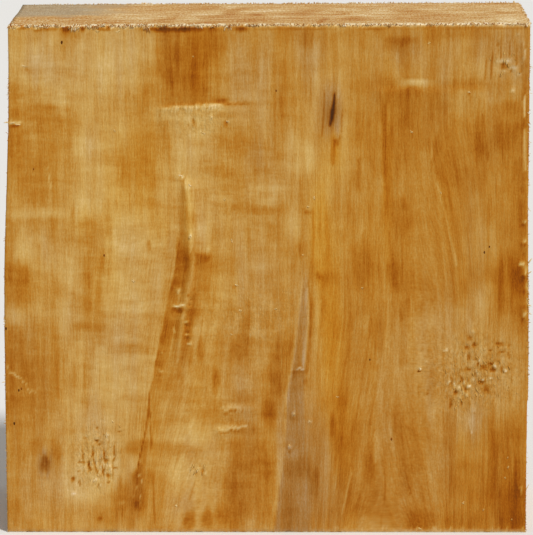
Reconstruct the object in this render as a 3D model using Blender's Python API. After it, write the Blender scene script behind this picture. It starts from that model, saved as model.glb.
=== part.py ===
"""A rough-sawn turning blank: one thick square of wood, cut from a slab for a bowl.

X runs across the broad face, Y through the thickness and Z along the grain, so the block
stands on one end-grain cut. Its frame starts at the middle of that cut, and sizes are in metres.
"""

import bmesh
import bpy

# The block
LENGTH = 0.204  # along the grain, from the foot cut to the top cut, at mid width
TOP_WIDTH = 0.204  # across the grain, at the top cut
THICKNESS = 0.078  # between the two broad faces
TOP_SKEW = 0.0007  # how much higher the top cut ends on the right than on the left
ARRIS = 0.0005  # width of the flat left on every broken edge

# The left rip cut: straight, then the blade wandered outwards, then straight again
LEFT_WANDER = 0.0031  # how far out it wandered
WANDER_STARTS = 0.190  # height above the foot where it leaves the line
WANDER_ENDS = 0.085  # height where it runs straight again

# The right rip cut: it eases outwards going down, and a ledge shows where two passes of the saw met
RIGHT_EASE = 0.0008  # how far it eases outwards
EASE_STARTS = 0.135  # height above the foot where it leaves the line
EASE_ENDS = 0.070  # height where it runs straight again
LEDGE = 0.00035  # depth of the ledge
LEDGE_HEIGHT = 0.054  # height of the middle of the ledge
LEDGE_RUN = 0.002  # height over which the ledge steps in

STATIONS = 34  # heights at which each rip cut is worked out


def ease(t):
    """0 up to t = 0, 1 from t = 1, and a smooth S between."""
    t = min(max(t, 0.0), 1.0)
    return t * t * (3 - 2 * t)


def left_cut(height):
    """X of the left rip cut at a height above the foot."""
    wander = ease((WANDER_STARTS - height) / (WANDER_STARTS - WANDER_ENDS))
    return -TOP_WIDTH / 2 - LEFT_WANDER * wander


def right_cut(height):
    """X of the right rip cut at a height above the foot."""
    outwards = ease((EASE_STARTS - height) / (EASE_STARTS - EASE_ENDS))
    below = ease((LEDGE_HEIGHT - height) / LEDGE_RUN + 0.5)
    return TOP_WIDTH / 2 + RIGHT_EASE * outwards - LEDGE * below


def broad_face_outline():
    """(x, z) points round the broad face, anticlockwise seen from the front, centred on X."""
    left_top = LENGTH - TOP_SKEW / 2
    right_top = LENGTH + TOP_SKEW / 2
    even = [n / STATIONS for n in range(STATIONS + 1)]
    ledge_ends = [LEDGE_HEIGHT - LEDGE_RUN / 2, LEDGE_HEIGHT + LEDGE_RUN / 2]
    up_right = sorted([share * right_top for share in even] + ledge_ends)
    down_left = [share * left_top for share in reversed(even)]
    outline = [(right_cut(height), height) for height in up_right]
    outline += [(left_cut(height), height) for height in down_left]
    middle = (min(x for x, _ in outline) + max(x for x, _ in outline)) / 2
    return [(x - middle, height) for x, height in outline]


def sawn_wood():
    """Honey-coloured, matt, freshly sawn wood."""
    material = bpy.data.materials.new("sawn_wood")
    material.use_nodes = True
    shader = material.node_tree.nodes["Principled BSDF"]
    shader.inputs["Base Color"].default_value = (0.5, 0.24, 0.05, 1.0)
    shader.inputs["Roughness"].default_value = 0.6
    shader.inputs["Metallic"].default_value = 0.0
    return material


def turning_blank():
    """The broad face's outline carried through the thickness, with its sharp edges broken."""
    shape = bmesh.new()
    front = [shape.verts.new((x, -THICKNESS / 2, z)) for x, z in broad_face_outline()]
    face = shape.faces.new(front)
    carried = bmesh.ops.extrude_face_region(shape, geom=[face])
    back = [item for item in carried["geom"] if isinstance(item, bmesh.types.BMVert)]
    bmesh.ops.translate(shape, verts=back, vec=(0, THICKNESS, 0))
    bmesh.ops.recalc_face_normals(shape, faces=shape.faces)
    mesh = bpy.data.meshes.new("turning_blank")
    shape.to_mesh(mesh)
    shape.free()
    blank = bpy.data.objects.new("turning_blank", mesh)
    blank.data.materials.append(sawn_wood())
    bpy.context.scene.collection.objects.link(blank)
    broken = blank.modifiers.new("broken_edges", "BEVEL")
    broken.width = ARRIS
    broken.segments = 1
    broken.limit_method = "ANGLE"
    return blank


for leftover in list(bpy.data.objects):
    bpy.data.objects.remove(leftover)
turning_blank()
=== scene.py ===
# %% [markdown]
# # A wood turning blank, rough from the saw
# A thick square of figured hardwood, cut from a slab to be turned into a bowl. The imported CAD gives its
# size and its saw lines. This lesson dresses that solid: it grows the sawn relief, stains the wood along
# its fibres, and leaves the burrs and splinters that a rip saw leaves. Lengths are in millimetres until
# a mesh is made, and every place is measured from the middle of the foot.

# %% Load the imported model
import math

import bpy
import numpy as np
from mathutils import Matrix


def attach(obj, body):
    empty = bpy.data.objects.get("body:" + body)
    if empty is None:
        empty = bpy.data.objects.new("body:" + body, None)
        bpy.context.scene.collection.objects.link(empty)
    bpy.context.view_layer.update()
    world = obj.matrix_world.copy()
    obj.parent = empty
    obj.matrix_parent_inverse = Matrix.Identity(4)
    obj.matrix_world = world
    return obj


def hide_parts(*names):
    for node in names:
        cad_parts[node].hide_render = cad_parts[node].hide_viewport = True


MM = 0.001
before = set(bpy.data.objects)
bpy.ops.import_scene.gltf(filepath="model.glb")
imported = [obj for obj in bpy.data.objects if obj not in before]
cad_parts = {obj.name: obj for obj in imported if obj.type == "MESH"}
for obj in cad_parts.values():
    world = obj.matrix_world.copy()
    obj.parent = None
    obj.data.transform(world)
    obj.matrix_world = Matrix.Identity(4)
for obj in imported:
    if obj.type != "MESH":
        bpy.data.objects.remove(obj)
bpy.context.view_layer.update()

# %% [markdown]
# ## The sawn outline
# The two rip cuts aren't straight: the left one wandered out, and the right one eases out to a small ledge.
# Their line is already in the CAD mesh, so it is read from there: the X of each cut by height, and the
# height of the top cut at its two ends.

# %% Read the saw lines from the CAD mesh
cad_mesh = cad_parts["turning_blank"].data
flat = np.zeros(len(cad_mesh.vertices) * 3)
cad_mesh.vertices.foreach_get("co", flat)
cad_points = flat.reshape(-1, 3) / MM

FRONT = cad_points[:, 1].min()
BACK = cad_points[:, 1].max()
TOP_LEFT = cad_points[cad_points[:, 0] < 0, 2].max()
TOP_RIGHT = cad_points[cad_points[:, 0] > 0, 2].max()
TOP_ENDS = (-101, 103)  # X of the top cut's two ends
RIPPED_FROM = 95  # CAD points further out than this lie on a rip cut
CLEAR = 0.2  # if they are clear of the faces and ends by this much


def rip_cut(side):
    """Heights and X of one rip cut, -1 left or +1 right: the CAD points that lie on it, by height."""
    on_side = cad_points[:, 0] * side > RIPPED_FROM
    off_faces = (cad_points[:, 1] > FRONT + CLEAR) & (cad_points[:, 1] < BACK - CLEAR)
    off_ends = (cad_points[:, 2] > CLEAR) & (cad_points[:, 2] < TOP_LEFT - CLEAR)
    spots = cad_points[on_side & off_faces & off_ends]
    spots = spots[np.argsort(spots[:, 2])]
    return spots[:, 2], spots[:, 0]


LEFT_CUT = rip_cut(-1)
RIGHT_CUT = rip_cut(1)


def left_edge(height):
    """X of the left rip cut at a height."""
    return np.interp(height, *LEFT_CUT)


def right_edge(height):
    """X of the right rip cut at a height."""
    return np.interp(height, *RIGHT_CUT)


def top_cut(x):
    """Height of the top cut at an X: a straight line from its left end to its right end."""
    return np.interp(x, TOP_ENDS, (TOP_LEFT, TOP_RIGHT))


print("left cut", LEFT_CUT[1].round(1)[[0, -1]], "right cut", RIGHT_CUT[1].round(1)[[0, -1]])

# %% [markdown]
# ## Chance, kept repeatable
# Wood is never even. `cloud` is a smooth random field made from a seeded lattice of random heights, and
# every bit of unevenness below is a stretched or layered copy of it. `ease` is a soft step, used wherever
# one thing fades into another, and `spot` is a soft oval.

# %% A soft step, noise and a soft oval
LATTICE = 256
BELL = 0.7  # every soft mark is exp(-BELL times its scaled distance to a power)


def ease(t):
    """0 up to t = 0, 1 from t = 1, and a smooth S between."""
    t = np.clip(t, 0, 1)
    return t * t * (3 - 2 * t)


def cloud(u, v, seed):
    """Smooth noise from -1 to 1: random heights on whole numbers of u and v, joined by soft S curves."""
    lattice = np.random.default_rng(seed).uniform(-1, 1, (LATTICE, LATTICE))
    iu = np.floor(u).astype(int)
    iv = np.floor(v).astype(int)
    along = ease(u - iu)
    up = ease(v - iv)
    left, right = iu % LATTICE, (iu + 1) % LATTICE
    below, above = iv % LATTICE, (iv + 1) % LATTICE
    low = lattice[left, below] * (1 - along) + lattice[right, below] * along
    high = lattice[left, above] * (1 - along) + lattice[right, above] * along
    return low * (1 - up) + high * up


def spot(x, z, at_x, at_z, half_width, half_height, edge=1.0):
    """1 in the middle of an upright oval and 0 well outside it: a bell of the scaled distance. A larger
    edge makes the oval's rim crisper."""
    away = ((x - at_x) / half_width) ** 2 + ((z - at_z) / half_height) ** 2
    return np.exp(-BELL * away**edge)


sample = cloud(np.linspace(0, 90, 900), np.zeros(900), 1)
print("noise from", sample.min().round(2), "to", sample.max().round(2))

# %% [markdown]
# ## Which way the fibres run
# The grain runs up the block, but it swerves: below the small ridge left of the middle it leans to the
# left going down, and in the right half it leans a little to the right. A fibre's own place across the
# board, where it would sit if it were straight, is the coordinate that all streaks follow. Stain frays
# along the fibres, and small marks get torn outlines.

# %% The grain's own coordinate, and how marks fray along it
SWERVES = [  # x, reach, height where it begins, how far down it goes on, and lean
    (-41, 20, 118, 118, 0.16), (72, 14, 165, 70, -0.15), (56, 12, 45, 60, -0.10), (34, 13, 88, 88, 0.11),
]


def fibre_place(x, z):
    """X straightened along the grain: each swerve takes off its lean times the drop below its start, in a
    bell across the board."""
    place = x + 0.5 * cloud(x / 14, z / 22, 3)
    for middle, reach, start, run, lean in SWERVES:
        drop = np.clip(z - start, -run, 0)
        place = place - lean * drop * np.exp(-(((x - middle) / reach) ** 2))
    return place


def fray(x, z):
    """How far the stain runs along each fibre beyond its patch: noise that changes fast across the grain
    and slowly along it."""
    across = fibre_place(x, z)
    return 0.6 * cloud(across / 1.1, z / 30, 11) + 0.4 * cloud(across / 0.5, z / 18, 12)


def ragged_place(x, z):
    """A place shifted by up to half a millimetre of noise, so that small marks get torn outlines."""
    shift_x = 0.45 * cloud(x / 0.9, z / 1.3, 29)
    shift_z = 0.45 * cloud(x / 1.1, z / 0.9, 30)
    return x + shift_x, z + shift_z


def wavy(x, z):
    """X with a slow waver of half a millimetre, so that no patch has a ruled side."""
    return x + 0.5 * cloud(x / 3, z / 9, 25)


print("the fibre at x = -40 on the foot comes from x =", fibre_place(-40.0, 0.0).round(1))

# %% [markdown]
# ## The stain of the face
# Fungus and damp have coloured this wood before it was sawn. The shade runs from 0, pale cream, to 10,
# burnt brown. It is laid on as a painter would: broad washes first, then patches, each an upright oval
# (x, height, half width, half height, shade). Each one frays along the fibres, so that its ends break into
# fine points as real stain does.

# %% Broad washes and patches
WASH = [(-95, 4.5), (-60, 2.4), (-10, 3.5), (20, 4.5), (60, 5.8), (100, 5.8)]

FIGURE = [  # x, height, half width, half height, shade
    (72,191,34,12,4.5), (93,178,7,5,4.2), (-57,163,5,5,3.4), (-28,143,4,10,2), (83,63,20,15,3.8),
    (-70,33,9,14,1.8), (52,68,8,14,4.4), (-38,100,3,10,4), (-72,190,24,16,1.6), (-64,188,6,9,0.4),
    (-88,190,6,8,1.2), (-76,199,4,4,4.2), (-94,192,2,10,3), (-97,176,5,5,5.2), (-88,170,14,3,6.2),
    (-85,163,8,8,6.2), (-99,158,5,10,7.4), (-80,175,3,5,1), (-72,170,5,12,1.6), (-76,164,3,6,4.8),
    (-70,156,5,8,0.7), (-70,135,6,6,0.8), (-68,145,5,6,1.8), (-93,146,9,10,6.2), (-84,150,2.5,14,5.8),
    (-95,138,8,4,6), (-90,129,14,2.5,2.5), (-90,116,8,9,2), (-96,113,3,6,1.2), (-84,123,3,5,5),
    (-76,123,3,6,4.5), (-69,122,4,8,4.6), (-53,150,6,15,5.3), (-52,172,5,4,4.8), (-42,160,5,7,5.4),
    (-46,143,5,6,5.1), (-47,180,3,12,4.6), (-30,170,13,2,1.5), (-32,158,5,14,0.6), (-26,165,8,7,2),
    (-11,158,9,5,5.8), (-10,146,10,4,5), (-8,131,12,1.5,5), (-20,138,8,6,2.3), (-25,123,4,8,1.6),
    (-57,115,5,16,0.3), (-50,112,8,18,1.4), (-67,105,5,10,4.2), (-88,108,6,8,1.8), (-78,106,3,8,1.5),
    (-100,104,5,7,7.2), (-30,192,12,14,8.2), (-28,182,4,8,9.4), (-37,188,4,9,8.6), (-22,197,5,7,8.2),
    (-40,196,3,8,6.5), (-32,176,9,5,6.8), (-100,60,5,22,8.2), (-93,63,8,10,6.5), (-100,68,2.5,5,9.6),
    (-84,72,2,8,6.2), (-88,55,6,8,6), (-95,48,6,6,6), (-92,88,12,4,3), (-96,97,6,4,5.6),
    (-71.5,96,1,10,5.8), (-66,100,2,10,4.4), (-70,85,5,3,5.2), (-80,90,3,14,2), (-65,66,4,8,0.6),
    (-57,62,5,8,0.8), (-64,50,4,10,1.2), (-56,75,5,3,3.6), (-92,35,2.5,3,6.3), (-84,34,2,4,6.2),
    (-77,20,5,8,0.2), (-70,18,6,6,0.8), (-58,14,4,7,7.4), (-51,14,3,6,8), (-50,22,4,5,7), (-50,35,5,3,6.6),
    (-101,8,3,5,6.8), (-8,82,2,12,6.6), (-11,75,3,4,7.6), (-20,63,1.5,6,6.6), (-26,75,2,4,5.6),
    (-34,40,7,5,1.4), (-28,40,3,4,0.5), (-34,25,5,5,0.6), (-40,34,12,3,4.6), (-42,14,4,10,3.6),
    (-14,51.5,4,1.2,2.2), (-17,43,4,1,2), (-8,43,4,3,6.8), (-4,24,6,14,7.3), (-12,18,5,14,7.6),
    (0,25,2,4,8.3), (-14,8,6,5,8.2), (-4.5,5,1,4,4.2), (-31,5,2.5,4,8.5), (-24,5,2,4,8.8), (5,185,5,20,5),
    (8,175,4,8,6), (16,199,4,4,7.4), (24,198,3,5,6.5), (8,200,5,3,6), (64,200,4,4,7), (82,201,16,2.5,6.4),
    (53,197.6,6,1.8,8.6), (55,192,12,4,4.2), (19,185,1.5,14,2), (30,190,2,12,3), (12,153,5,8,1.6),
    (17,151,2.5,5,1), (1,138,7,5,2.5), (10,126,4,5,2.2), (24,145,5,14,3), (31,150,4,14,3.4),
    (37,157,4,12,6), (36,145,2.5,7,6.2), (48,150,2.5,28,8), (52,130,3,8,7.9), (51,107,3,8,8.3),
    (50,172,6,7,7.3), (58,172,12,7,7.2), (59,180.9,7.5,1.3,0.6), (48,181,4,2,6.8), (57,142,5,8,4.8),
    (74,149,5,9,7.6), (76,173,7,5,3.9), (84,157,2.6,8,8.8), (94,160,6,6,8.2), (96,171,5,3.5,7.8),
    (85,122,4,10,4.3), (101,150,2,30,7), (76,180.4,11,1.6,6.4), (56,177,9,1.6,7.8), (88,176,10,2,4.2),
    (53,133,2.5,3,7.6), (55,124,3.5,6,7.2), (86,140,2.6,12,4.6), (62,165,3,8,6.8), (98,140,3,10,6.2),
    (70,168,3,6,6.6), (97,105,6.5,8,9.4), (93,101,3,8,8.6), (96,93,6,5,8), (85,94,4.5,9,2.9),
    (75,102,5,8,6.7), (65,82,12,10,3.3), (75,78,10,12,3.6), (93,72,8,12,3.7), (44,84,3,4,6.9),
    (38,108,4,10,7), (24,106,4,12,6.2), (25,75,6,20,5.2), (32,78,3,20,6.4), (4,66,3,10,8), (1,49,3,6,8),
    (7,72,3,8,6.8), (31,55,3,6,7.2), (26.5,43,1.2,5,8.3), (28,36,1.5,8,7.7), (34,38,4,10,7.6),
    (32,24,3,8,7.7), (41,28,2,8,7.5), (48,30,2,8,7), (56,38,3,6,7), (67,35,3,22,3.7), (82,40,5,9,3.4),
    (80,46,2,4,1.8), (95,38,7,8,7.8), (96,20,8,17,9.2), (100,8,8,10,10.3), (62,5,5,5,8.8), (78,5,6,5,8.6),
    (80,20,6,12,6.8), (45,12,15,8,6.6), (26.4,44,1.1,4,8.8), (29.6,44,2,14,7.6), (41.4,26,1.4,6,8.6),
    (44.5,79,2,5,7), (60,46,3,8,6.6),
]
FRAY_SHARE = 0.45  # how far a patch frays, as a share of its half height
FRAY_MOST = 4.5  # and at most


def lay(shade, patch, cover):
    """Stain over stain: the old shade moves towards the new one by the cover's share."""
    return shade + (patch - shade) * cover


def lay_ovals(shade, ovals, x, z, strength, edge):
    """Every oval of a list, laid over the shade in turn."""
    for *oval, patch in ovals:
        shade = lay(shade, patch, strength * spot(x, z, *oval, edge))
    return shade


def washed_figure(x, z):
    """The washes by X, then every patch laid over them with its ends frayed along the fibres."""
    places, shades = zip(*WASH)
    shade = np.interp(x + 6 * cloud(x / 20, z / 50, 21), places, shades)
    sway = wavy(x, z)
    ragged = fray(x, z)
    for at_x, at_z, half_width, half_height, patch in FIGURE:
        run = min(FRAY_SHARE * half_height, FRAY_MOST)
        cover = spot(sway, z + run * ragged, at_x, at_z, half_width, half_height, 1.9)
        shade = lay(shade, patch, 0.92 * cover)
    return shade


print(len(FIGURE), "patches on the face")

# %% [markdown]
# ### Squarer blocks
# Fiddleback figure has blocks with nearly square, crisp outlines. Their light and dark stand partly for
# the figure's sheen, which in real wood shifts with the view, so they are partly a painted sheen. They are
# the same five numbers, laid on with a rounded rectangle instead of an oval. Two small ones, at (16.3,
# 129.6) and (11.6, 64.6), are painted shadows under pale lips.

# %% Blocks of figure
BLOCKS = [
    (-80,129.4,18,1.5,2.2), (-49,133.6,9,2.2,5.2), (-58,133,3.5,2,3), (-89,124.4,10,2.9,4.9),
    (-83.3,125,1.1,3,7), (-76.2,127,0.8,8,6), (-68.4,118,2.8,9,5.6), (-62.2,122,0.7,11,4.8),
    (-96,118,1.1,7,1.4), (-93.6,112,1.2,4,2), (-97.2,101,4.6,7,6.8), (-95,103,0.7,4,8.4), (-86.5,99,5,7,4),
    (-70,98,1.1,9,6.6), (-67.2,96,2.1,12,5.4), (-66.4,97,0.8,5,7.2), (-70,102.5,0.6,3.5,8.2),
    (-64.8,109.5,0.7,4,7), (-71,83.6,5.5,1.7,6.2), (-66.4,86,2.2,3,5.8), (-92,87.4,9.5,2.1,2.5),
    (-91.4,72,9.2,12.6,6.3), (-99,78,1.8,5,7.6), (-83.6,72,1.2,12,7.3), (-96.6,65.5,3.4,5,7.8),
    (-90,79,3,4,5.4), (-46.2,116.6,0.8,1.6,7), (-50,75.3,6,1.8,5), (-72.4,77,3,2.2,1.8),
    (-66,73.5,1.8,1.8,0.4), (-78.6,66,3,8,3.4), (-80.6,66,0.5,6,6.2), (-76.4,64,0.5,6,6),
    (-72.6,64,0.6,6,5.4), (-60,66,4,7,1.6), (17.3,107.5,1.5,4,7), (20.8,119,1.8,12,5.2),
    # (16.3, 129.6) on the next line is a painted shadow under a pale lip
    (16.3,129.6,1.7,0.8,8.6), (13,115.5,0.5,3,7.4), (26,80,4,19,5.8), (20.2,104.7,0.9,0.7,10.4),
    (21.6,104,1,0.9,9.6), (22.7,101.5,1.5,2.6,8), (23,94,0.9,6,7.2), (-7.3,88,0.7,7,7.2), (-9,78,1.3,2.5,7),
    (-11.5,74,1.1,4,6.8), (-25.9,74,1.2,4,7.4), (-20.6,64,0.7,4,7.2), (4.6,66,3.1,7,7.4),
    (9.7,76,0.7,4,7.8), (5.2,77,0.9,4,6.8), (-4,81,3,1.4,2.6), (-3,107.5,3.4,2.8,2.6), (-15,99,3,4.6,2.8),
    (-5,130.6,9,1.2,6), (3,121,3,4,5.2), (-7.6,120,0.5,5,6), (11,126,3.6,4,2.8), (-13,91.6,4,1,5.6),
    # (11.6, 64.6) on the next line is a painted shadow under a pale lip
    (-23.6,111.6,1.2,0.8,10.6), (-12.2,100.2,0.8,0.4,8), (11.6,64.6,1.6,1.8,9.6), (14.6,62,1.2,1.2,8),
    (13,71,1,3,7.4),
]


def block_spot(x, z, at_x, at_z, half_width, half_height):
    """1 inside a rounded rectangle and 0 outside: a bell of both scaled distances to the power 3.2."""
    away = np.abs((x - at_x) / half_width) ** 3.2 + np.abs((z - at_z) / half_height) ** 3.2
    return np.exp(-BELL * away)


def lay_blocks(shade, x, z):
    """Every block laid over the shade in turn, frayed by up to a millimetre."""
    sway = wavy(x, z)
    frayed = z + fray(x, z)
    for *place, patch in BLOCKS:
        shade = lay(shade, patch, 0.85 * block_spot(sway, frayed, *place))
    return shade


print(len(BLOCKS), "blocks")

# %% [markdown]
# ### Thin glazes
# A painter ends with thin glazes, which darken or lighten what is there instead of hiding it. Each is an
# oval whose last number is added to the shade.

# %% Glazes
GLAZES = [
    (-15,68,3.5,10,1.4), (-27,66,4,6,1.4), (-8,37,5,4,1.8), (-1,47.5,3.6,5,1.2), (-21,50,3,3,1.6),
    (-40,46,10,9,0.9), (-44,28,4,16,1.1), (-34,31,6,6,0.7), (-25,36,2,5,1.2), (-46,5,5,5,1.8),
    (-60,4,8,3,1), (-30,5,5,4,1), (0,11,3,4,1.4), (25,6,6,8,1.1), (32,14,5,8,0.7), (50,24,7,7,1.2),
    (58,28,3,6,1.1), (69,4,3,3,1.2), (41,56,4,10,0.9), (36,34,2,8,0.8), (60,82,3,10,1), (83,101,3,5,1.4),
    (74,108,2,8,0.8), (84,145,2.4,9,1.5), (52,158,2.5,10,1.1), (43,150,2,7,1), (53,128,3,6,0.9),
    (74,164,3,9,1), (70,178,4,2,1.2), (50,195,4,2,2), (17,176,2.5,5,1.3), (0,160,3,3,1.2), (9,159,9,3,0.8),
    (10,150,5,4,0.9), (-10,146,8,10,0.6), (-18,142,8,2,1), (-14,133,5,6,1), (-48,105,4,6,1.8),
    (-50,83,5,4,1.1), (-20,106,3,6,1.3), (-17,92,3,8,1), (-37,96,2,3,1.2), (8,97,3,9,1), (-80,97,5,8,0.9),
    (-92,117,8,4,1), (-42,183,2.5,12,1.2), (-9,196,4,4,1.4), (-83,180,4,3,1.3), (-76,150,4,3,1.2),
    (-47,152,4,6,1.2), (-85,31,3,4,1.4), (-57,32,3,5,1), (-58,58,4,4,1), (-66,48,4,4,0.8),
    (-28,185,2.2,6,1.2), (-9,56,4,2.4,2.2), (-36.7,95,1.6,4,1.5), (-37.4,109,1.2,3,0.9),
    (-28.4,104.5,1.4,5,1.3), (-25.6,112.3,2.4,1,1.2), (-18,111,4,1.6,1), (-8,108.6,4,1.4,1),
    (-4,77,2,4,1.3), (-15.5,72,2,5,1), (-32,75.5,4,2.5,1.4), (-26,65,3,5,0.8), (-43,55.5,2.5,4,1.2),
    (-36,45,4,2.5,1.2), (-22,48.5,4,5,1.5), (-15,45.4,5,1.1,1.4), (-9,33,3,6,1.3), (-15,35,3,3,1),
    (-26,33,1.5,6,1.2), (-35.5,26.5,2.5,3,1.1), (-45.5,21,3,5,1.1), (-64,9,4,5,1.3), (-58,6,6,4,1.1),
    (1,9.5,2.6,3,1.4), (-91,20.5,4,3,0.9), (-79.5,35,2.5,3,1.1), (34,36,2,7,1), (43.6,37,1.4,5,1.1),
    (57.5,23,3,5,1.2), (31,20,3,10,0.9), (43,14,4,5,1), (67,7,2,4,1.2), (89.5,15,4,5,1.1),
    (58,72,2.5,7,0.8), (75,86,2.5,10,0.8), (41,72,2,5,0.9), (36.5,89,2,3,0.9), (45.7,103,1.5,3,1),
    (74,113,1.5,4,1.1), (51,120,1.4,4,1), (61,127,4,4,0.8), (86,143,1.6,7,1.5), (88,129,3,4,1),
    (40.6,146,1.5,5,1), (52,145,2,6,1.1), (70,156,2.5,5,0.8), (52,196,5,2.5,1), (59,195,2.5,4,1.2),
    (24.3,188,1.4,4,1.1), (18.5,185.5,2,2.5,0.9), (-3.5,180,2,5,0.9), (-42.5,184,2,4,1), (-44,173,2,4,0.9),
    (-50.5,175.5,4,3,0.9), (-20.6,177,1.6,4,1.2), (-39,158,3,2.5,0.9), (-64,161.5,2,3,0.9),
    (-73.5,168,2,2.5,1), (-84.5,175,3,3,1), (-97,148.5,3,4,0.9), (-76,150,4,4,0.8), (-84.5,146,1.5,3,0.9),
    (101,140,2,34,0.8), (100,24,2.6,20,0.8), (-25.6,108,2.4,4.5,1.4), (38,32,22,26,0.35), (-86,114,4,7,0.5),
    (-29,104,1,6,0.8), (-14,60,26,50,0.35), (3,54,3.4,9,1), (0,35,3.6,6,0.7), (5.4,55,1.3,4,1.2),
    (3.4,37,1.2,5,1), (16.6,78,1,5,1.2), (-31,75.5,3,2,1.1), (-44,56,2,4,0.9), (-34,53,4,2,0.9),
    (-8,54,4,2.2,0.8), (-51,65,3,5,0.9), (-59,104,4,5,0.7), (-51,105,4,5,0.8), (-30.4,105.6,1.6,5,0.9),
    (-3,92,2.5,8,0.7), (-24,18,2,6,0.8), (-57.6,30,2.4,4,0.9), (86,143,2,6,0.6), (98.4,165,2.6,4,0.8),
    (-50,155,3,5,0.6), (-57,163,4,5,-2.2), (-33,168,4,6,-1.6), (-28,151,7,3,-1.1), (-36,136,6,4,-1.3),
    (-65,117,2,12,-1.4), (-82,125,7,4,-1.5), (-90,74,6,8,-1.6), (-81,62,2,8,-1.1), (-88,55,5,6,-1),
    (-92,156,6,5,-1.2), (-88,17,3,7,-1), (-60,22,3,6,-1.2), (-52,25,2,5,-1.3), (-14,13,4,7,-0.9),
    (-15,27,7,4,-0.9), (12,40,6,5,-0.8), (62,47,3,6,-1.4), (66,72,2,8,-0.9), (82,31,3,3,-1.8),
    (97,34,3,7,-1.8), (55,11,3,4,-1), (82,50,8,6,-0.8), (26,62,4,12,-0.7), (46,80,3,8,-1.1), (46,92,4,6,-1),
    (28,92,3,5,-1.2), (35,152,3,5,-2.2), (35,132,2,10,-1), (26,165,3,5,-1.4), (24,180,3,5,-1.4),
    (47,168,2,6,-1.3), (48,138,3,5,-1.1), (90,172,8,7,-1.3), (93,187,6,3,-2), (85,186,5,4,-1.1),
    (80,177,5,2,-1.3), (95,197,5,5,-1), (32,193,4,4,-0.9), (42,190,4,6,-0.9), (15,197,4,4,-1),
    (28,203,4,2,-1.2), (65,198,4,3,-1), (-8,176,4,4,-1.4), (-48,190,3,4,-1), (-70,187,2,4,-1.2),
    (-90,177,5,3,-1), (-12,120,10,3,-0.8), (-28,121,3,6,-1.1), (-32,84,4,3,-1.2), (-44,72,3,5,-1),
    (-12,50.5,3,1.8,-1), (-5,200,2,4,-1), (-16,188,3,5,-0.9), (-35.5,190,2,5,-0.8), (-20,165,3,3,-1.1),
    (-92,165,5,1.5,-1.2), (-79.5,159,3,5,-1), (-60,136.5,5,2.5,-1.7), (-64,128,6,3,-1.1),
    (-55.5,123,4,3,-1), (-66.5,112,1.6,8,-1), (-67,91,3,4,-1.2), (-80.5,75,4,2,-1.4), (-62,81,3,3,-0.8),
    (-55,47.5,3,3,-1.1), (-44,37.5,1.6,4,-1.6), (-52,25,1.8,4,-1.6), (-64,26.5,2,3.5,-1.4),
    (-77,28.5,4,3,-1.3), (-71,33,4,3,-1), (-71,19,2,2.5,-1), (-3.4,20,2.4,5,-1.6),
    (-13.5,50.5,2.6,1.2,-1.4), (9.5,28,2,5,-1), (14.8,100.5,1,3,-1.6), (12.8,84,1,4,-1.3),
    (64.5,159,2,2.5,-1.2), (81.5,134,2,3,-1.2), (68,117,3,2.5,-1), (23.5,140,1.6,8,-0.9),
    (46,112,1.6,8,-0.8), (46.3,169.5,1,5,-1.2), (88.4,201,1.6,3,-1.4), (97.5,186,3,3,-1),
    (88.5,164,3,4,-1.1), (64.5,56,2,8,-1.1), (83.2,68.5,1.4,3,-1), (91,66,2,5,-0.9), (96,51,3,4,-1.2),
    (98,33,2.5,6,-0.9), (81,21,3,5,-1.2), (81.5,9,3,4,-1), (55,12.5,3,4,-0.8), (-40.5,79,3,1.5,-1),
    (-36.5,82,1.2,4,-1.2), (-29.6,84,1.4,4,-1.3), (-28.6,118,1.2,4,-1.4), (-29,127,1.5,3,-1),
    (-19,116,4,2,-0.9), (-44.5,70,1.2,4,-1), (80,195,6,4,-1.2), (80,186,5,3,-0.8), (-24.5,170,3,1.6,-1),
    (-65,31,8,10,-0.9), (-98,184,4,5,-1.6), (-99,195,5.5,9,-1.9), (-95,201,4,3,-0.6), (28,203,4,1.6,-1.4),
    (-81,11,3,5,-1.1), (-51.6,25,1.6,4,-1), (18.8,71,1.6,4,-0.9), (71,94,3,3,-1), (63,45,2.4,6,-0.9),
    (90,79,4,5,-0.9), (-69.5,55,2.4,4,-0.9), (-60,116,4,5,-0.8), (1,137,2.4,3,-0.9), (-83,46,4,3,-0.9),
    (51,65,4,5,-0.8), (21,28,4,8,-0.5), (-38,126,5,4,-0.6), (14.2,84,1.2,4,-1.1), (36,150,4,5,-0.8),
    (24.4,165,2,9,-0.7), (38,130,13,36,-0.3), (-70,135,26,24,-0.3), (74,202,4,2,-1.2), (92,202,8,2,-1.4),
    (94,190,7,8,-0.4), (12,38,6,6,-0.4),
]


def lay_glazes(shade, x, z):
    """Every glaze added to the shade."""
    sway = wavy(x, z)
    frayed = z + fray(x, z)
    for *oval, change in GLAZES:
        shade = shade + change * spot(sway, frayed, *oval, 1.3)
    return shade


print(len(GLAZES), "glazes")
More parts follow.
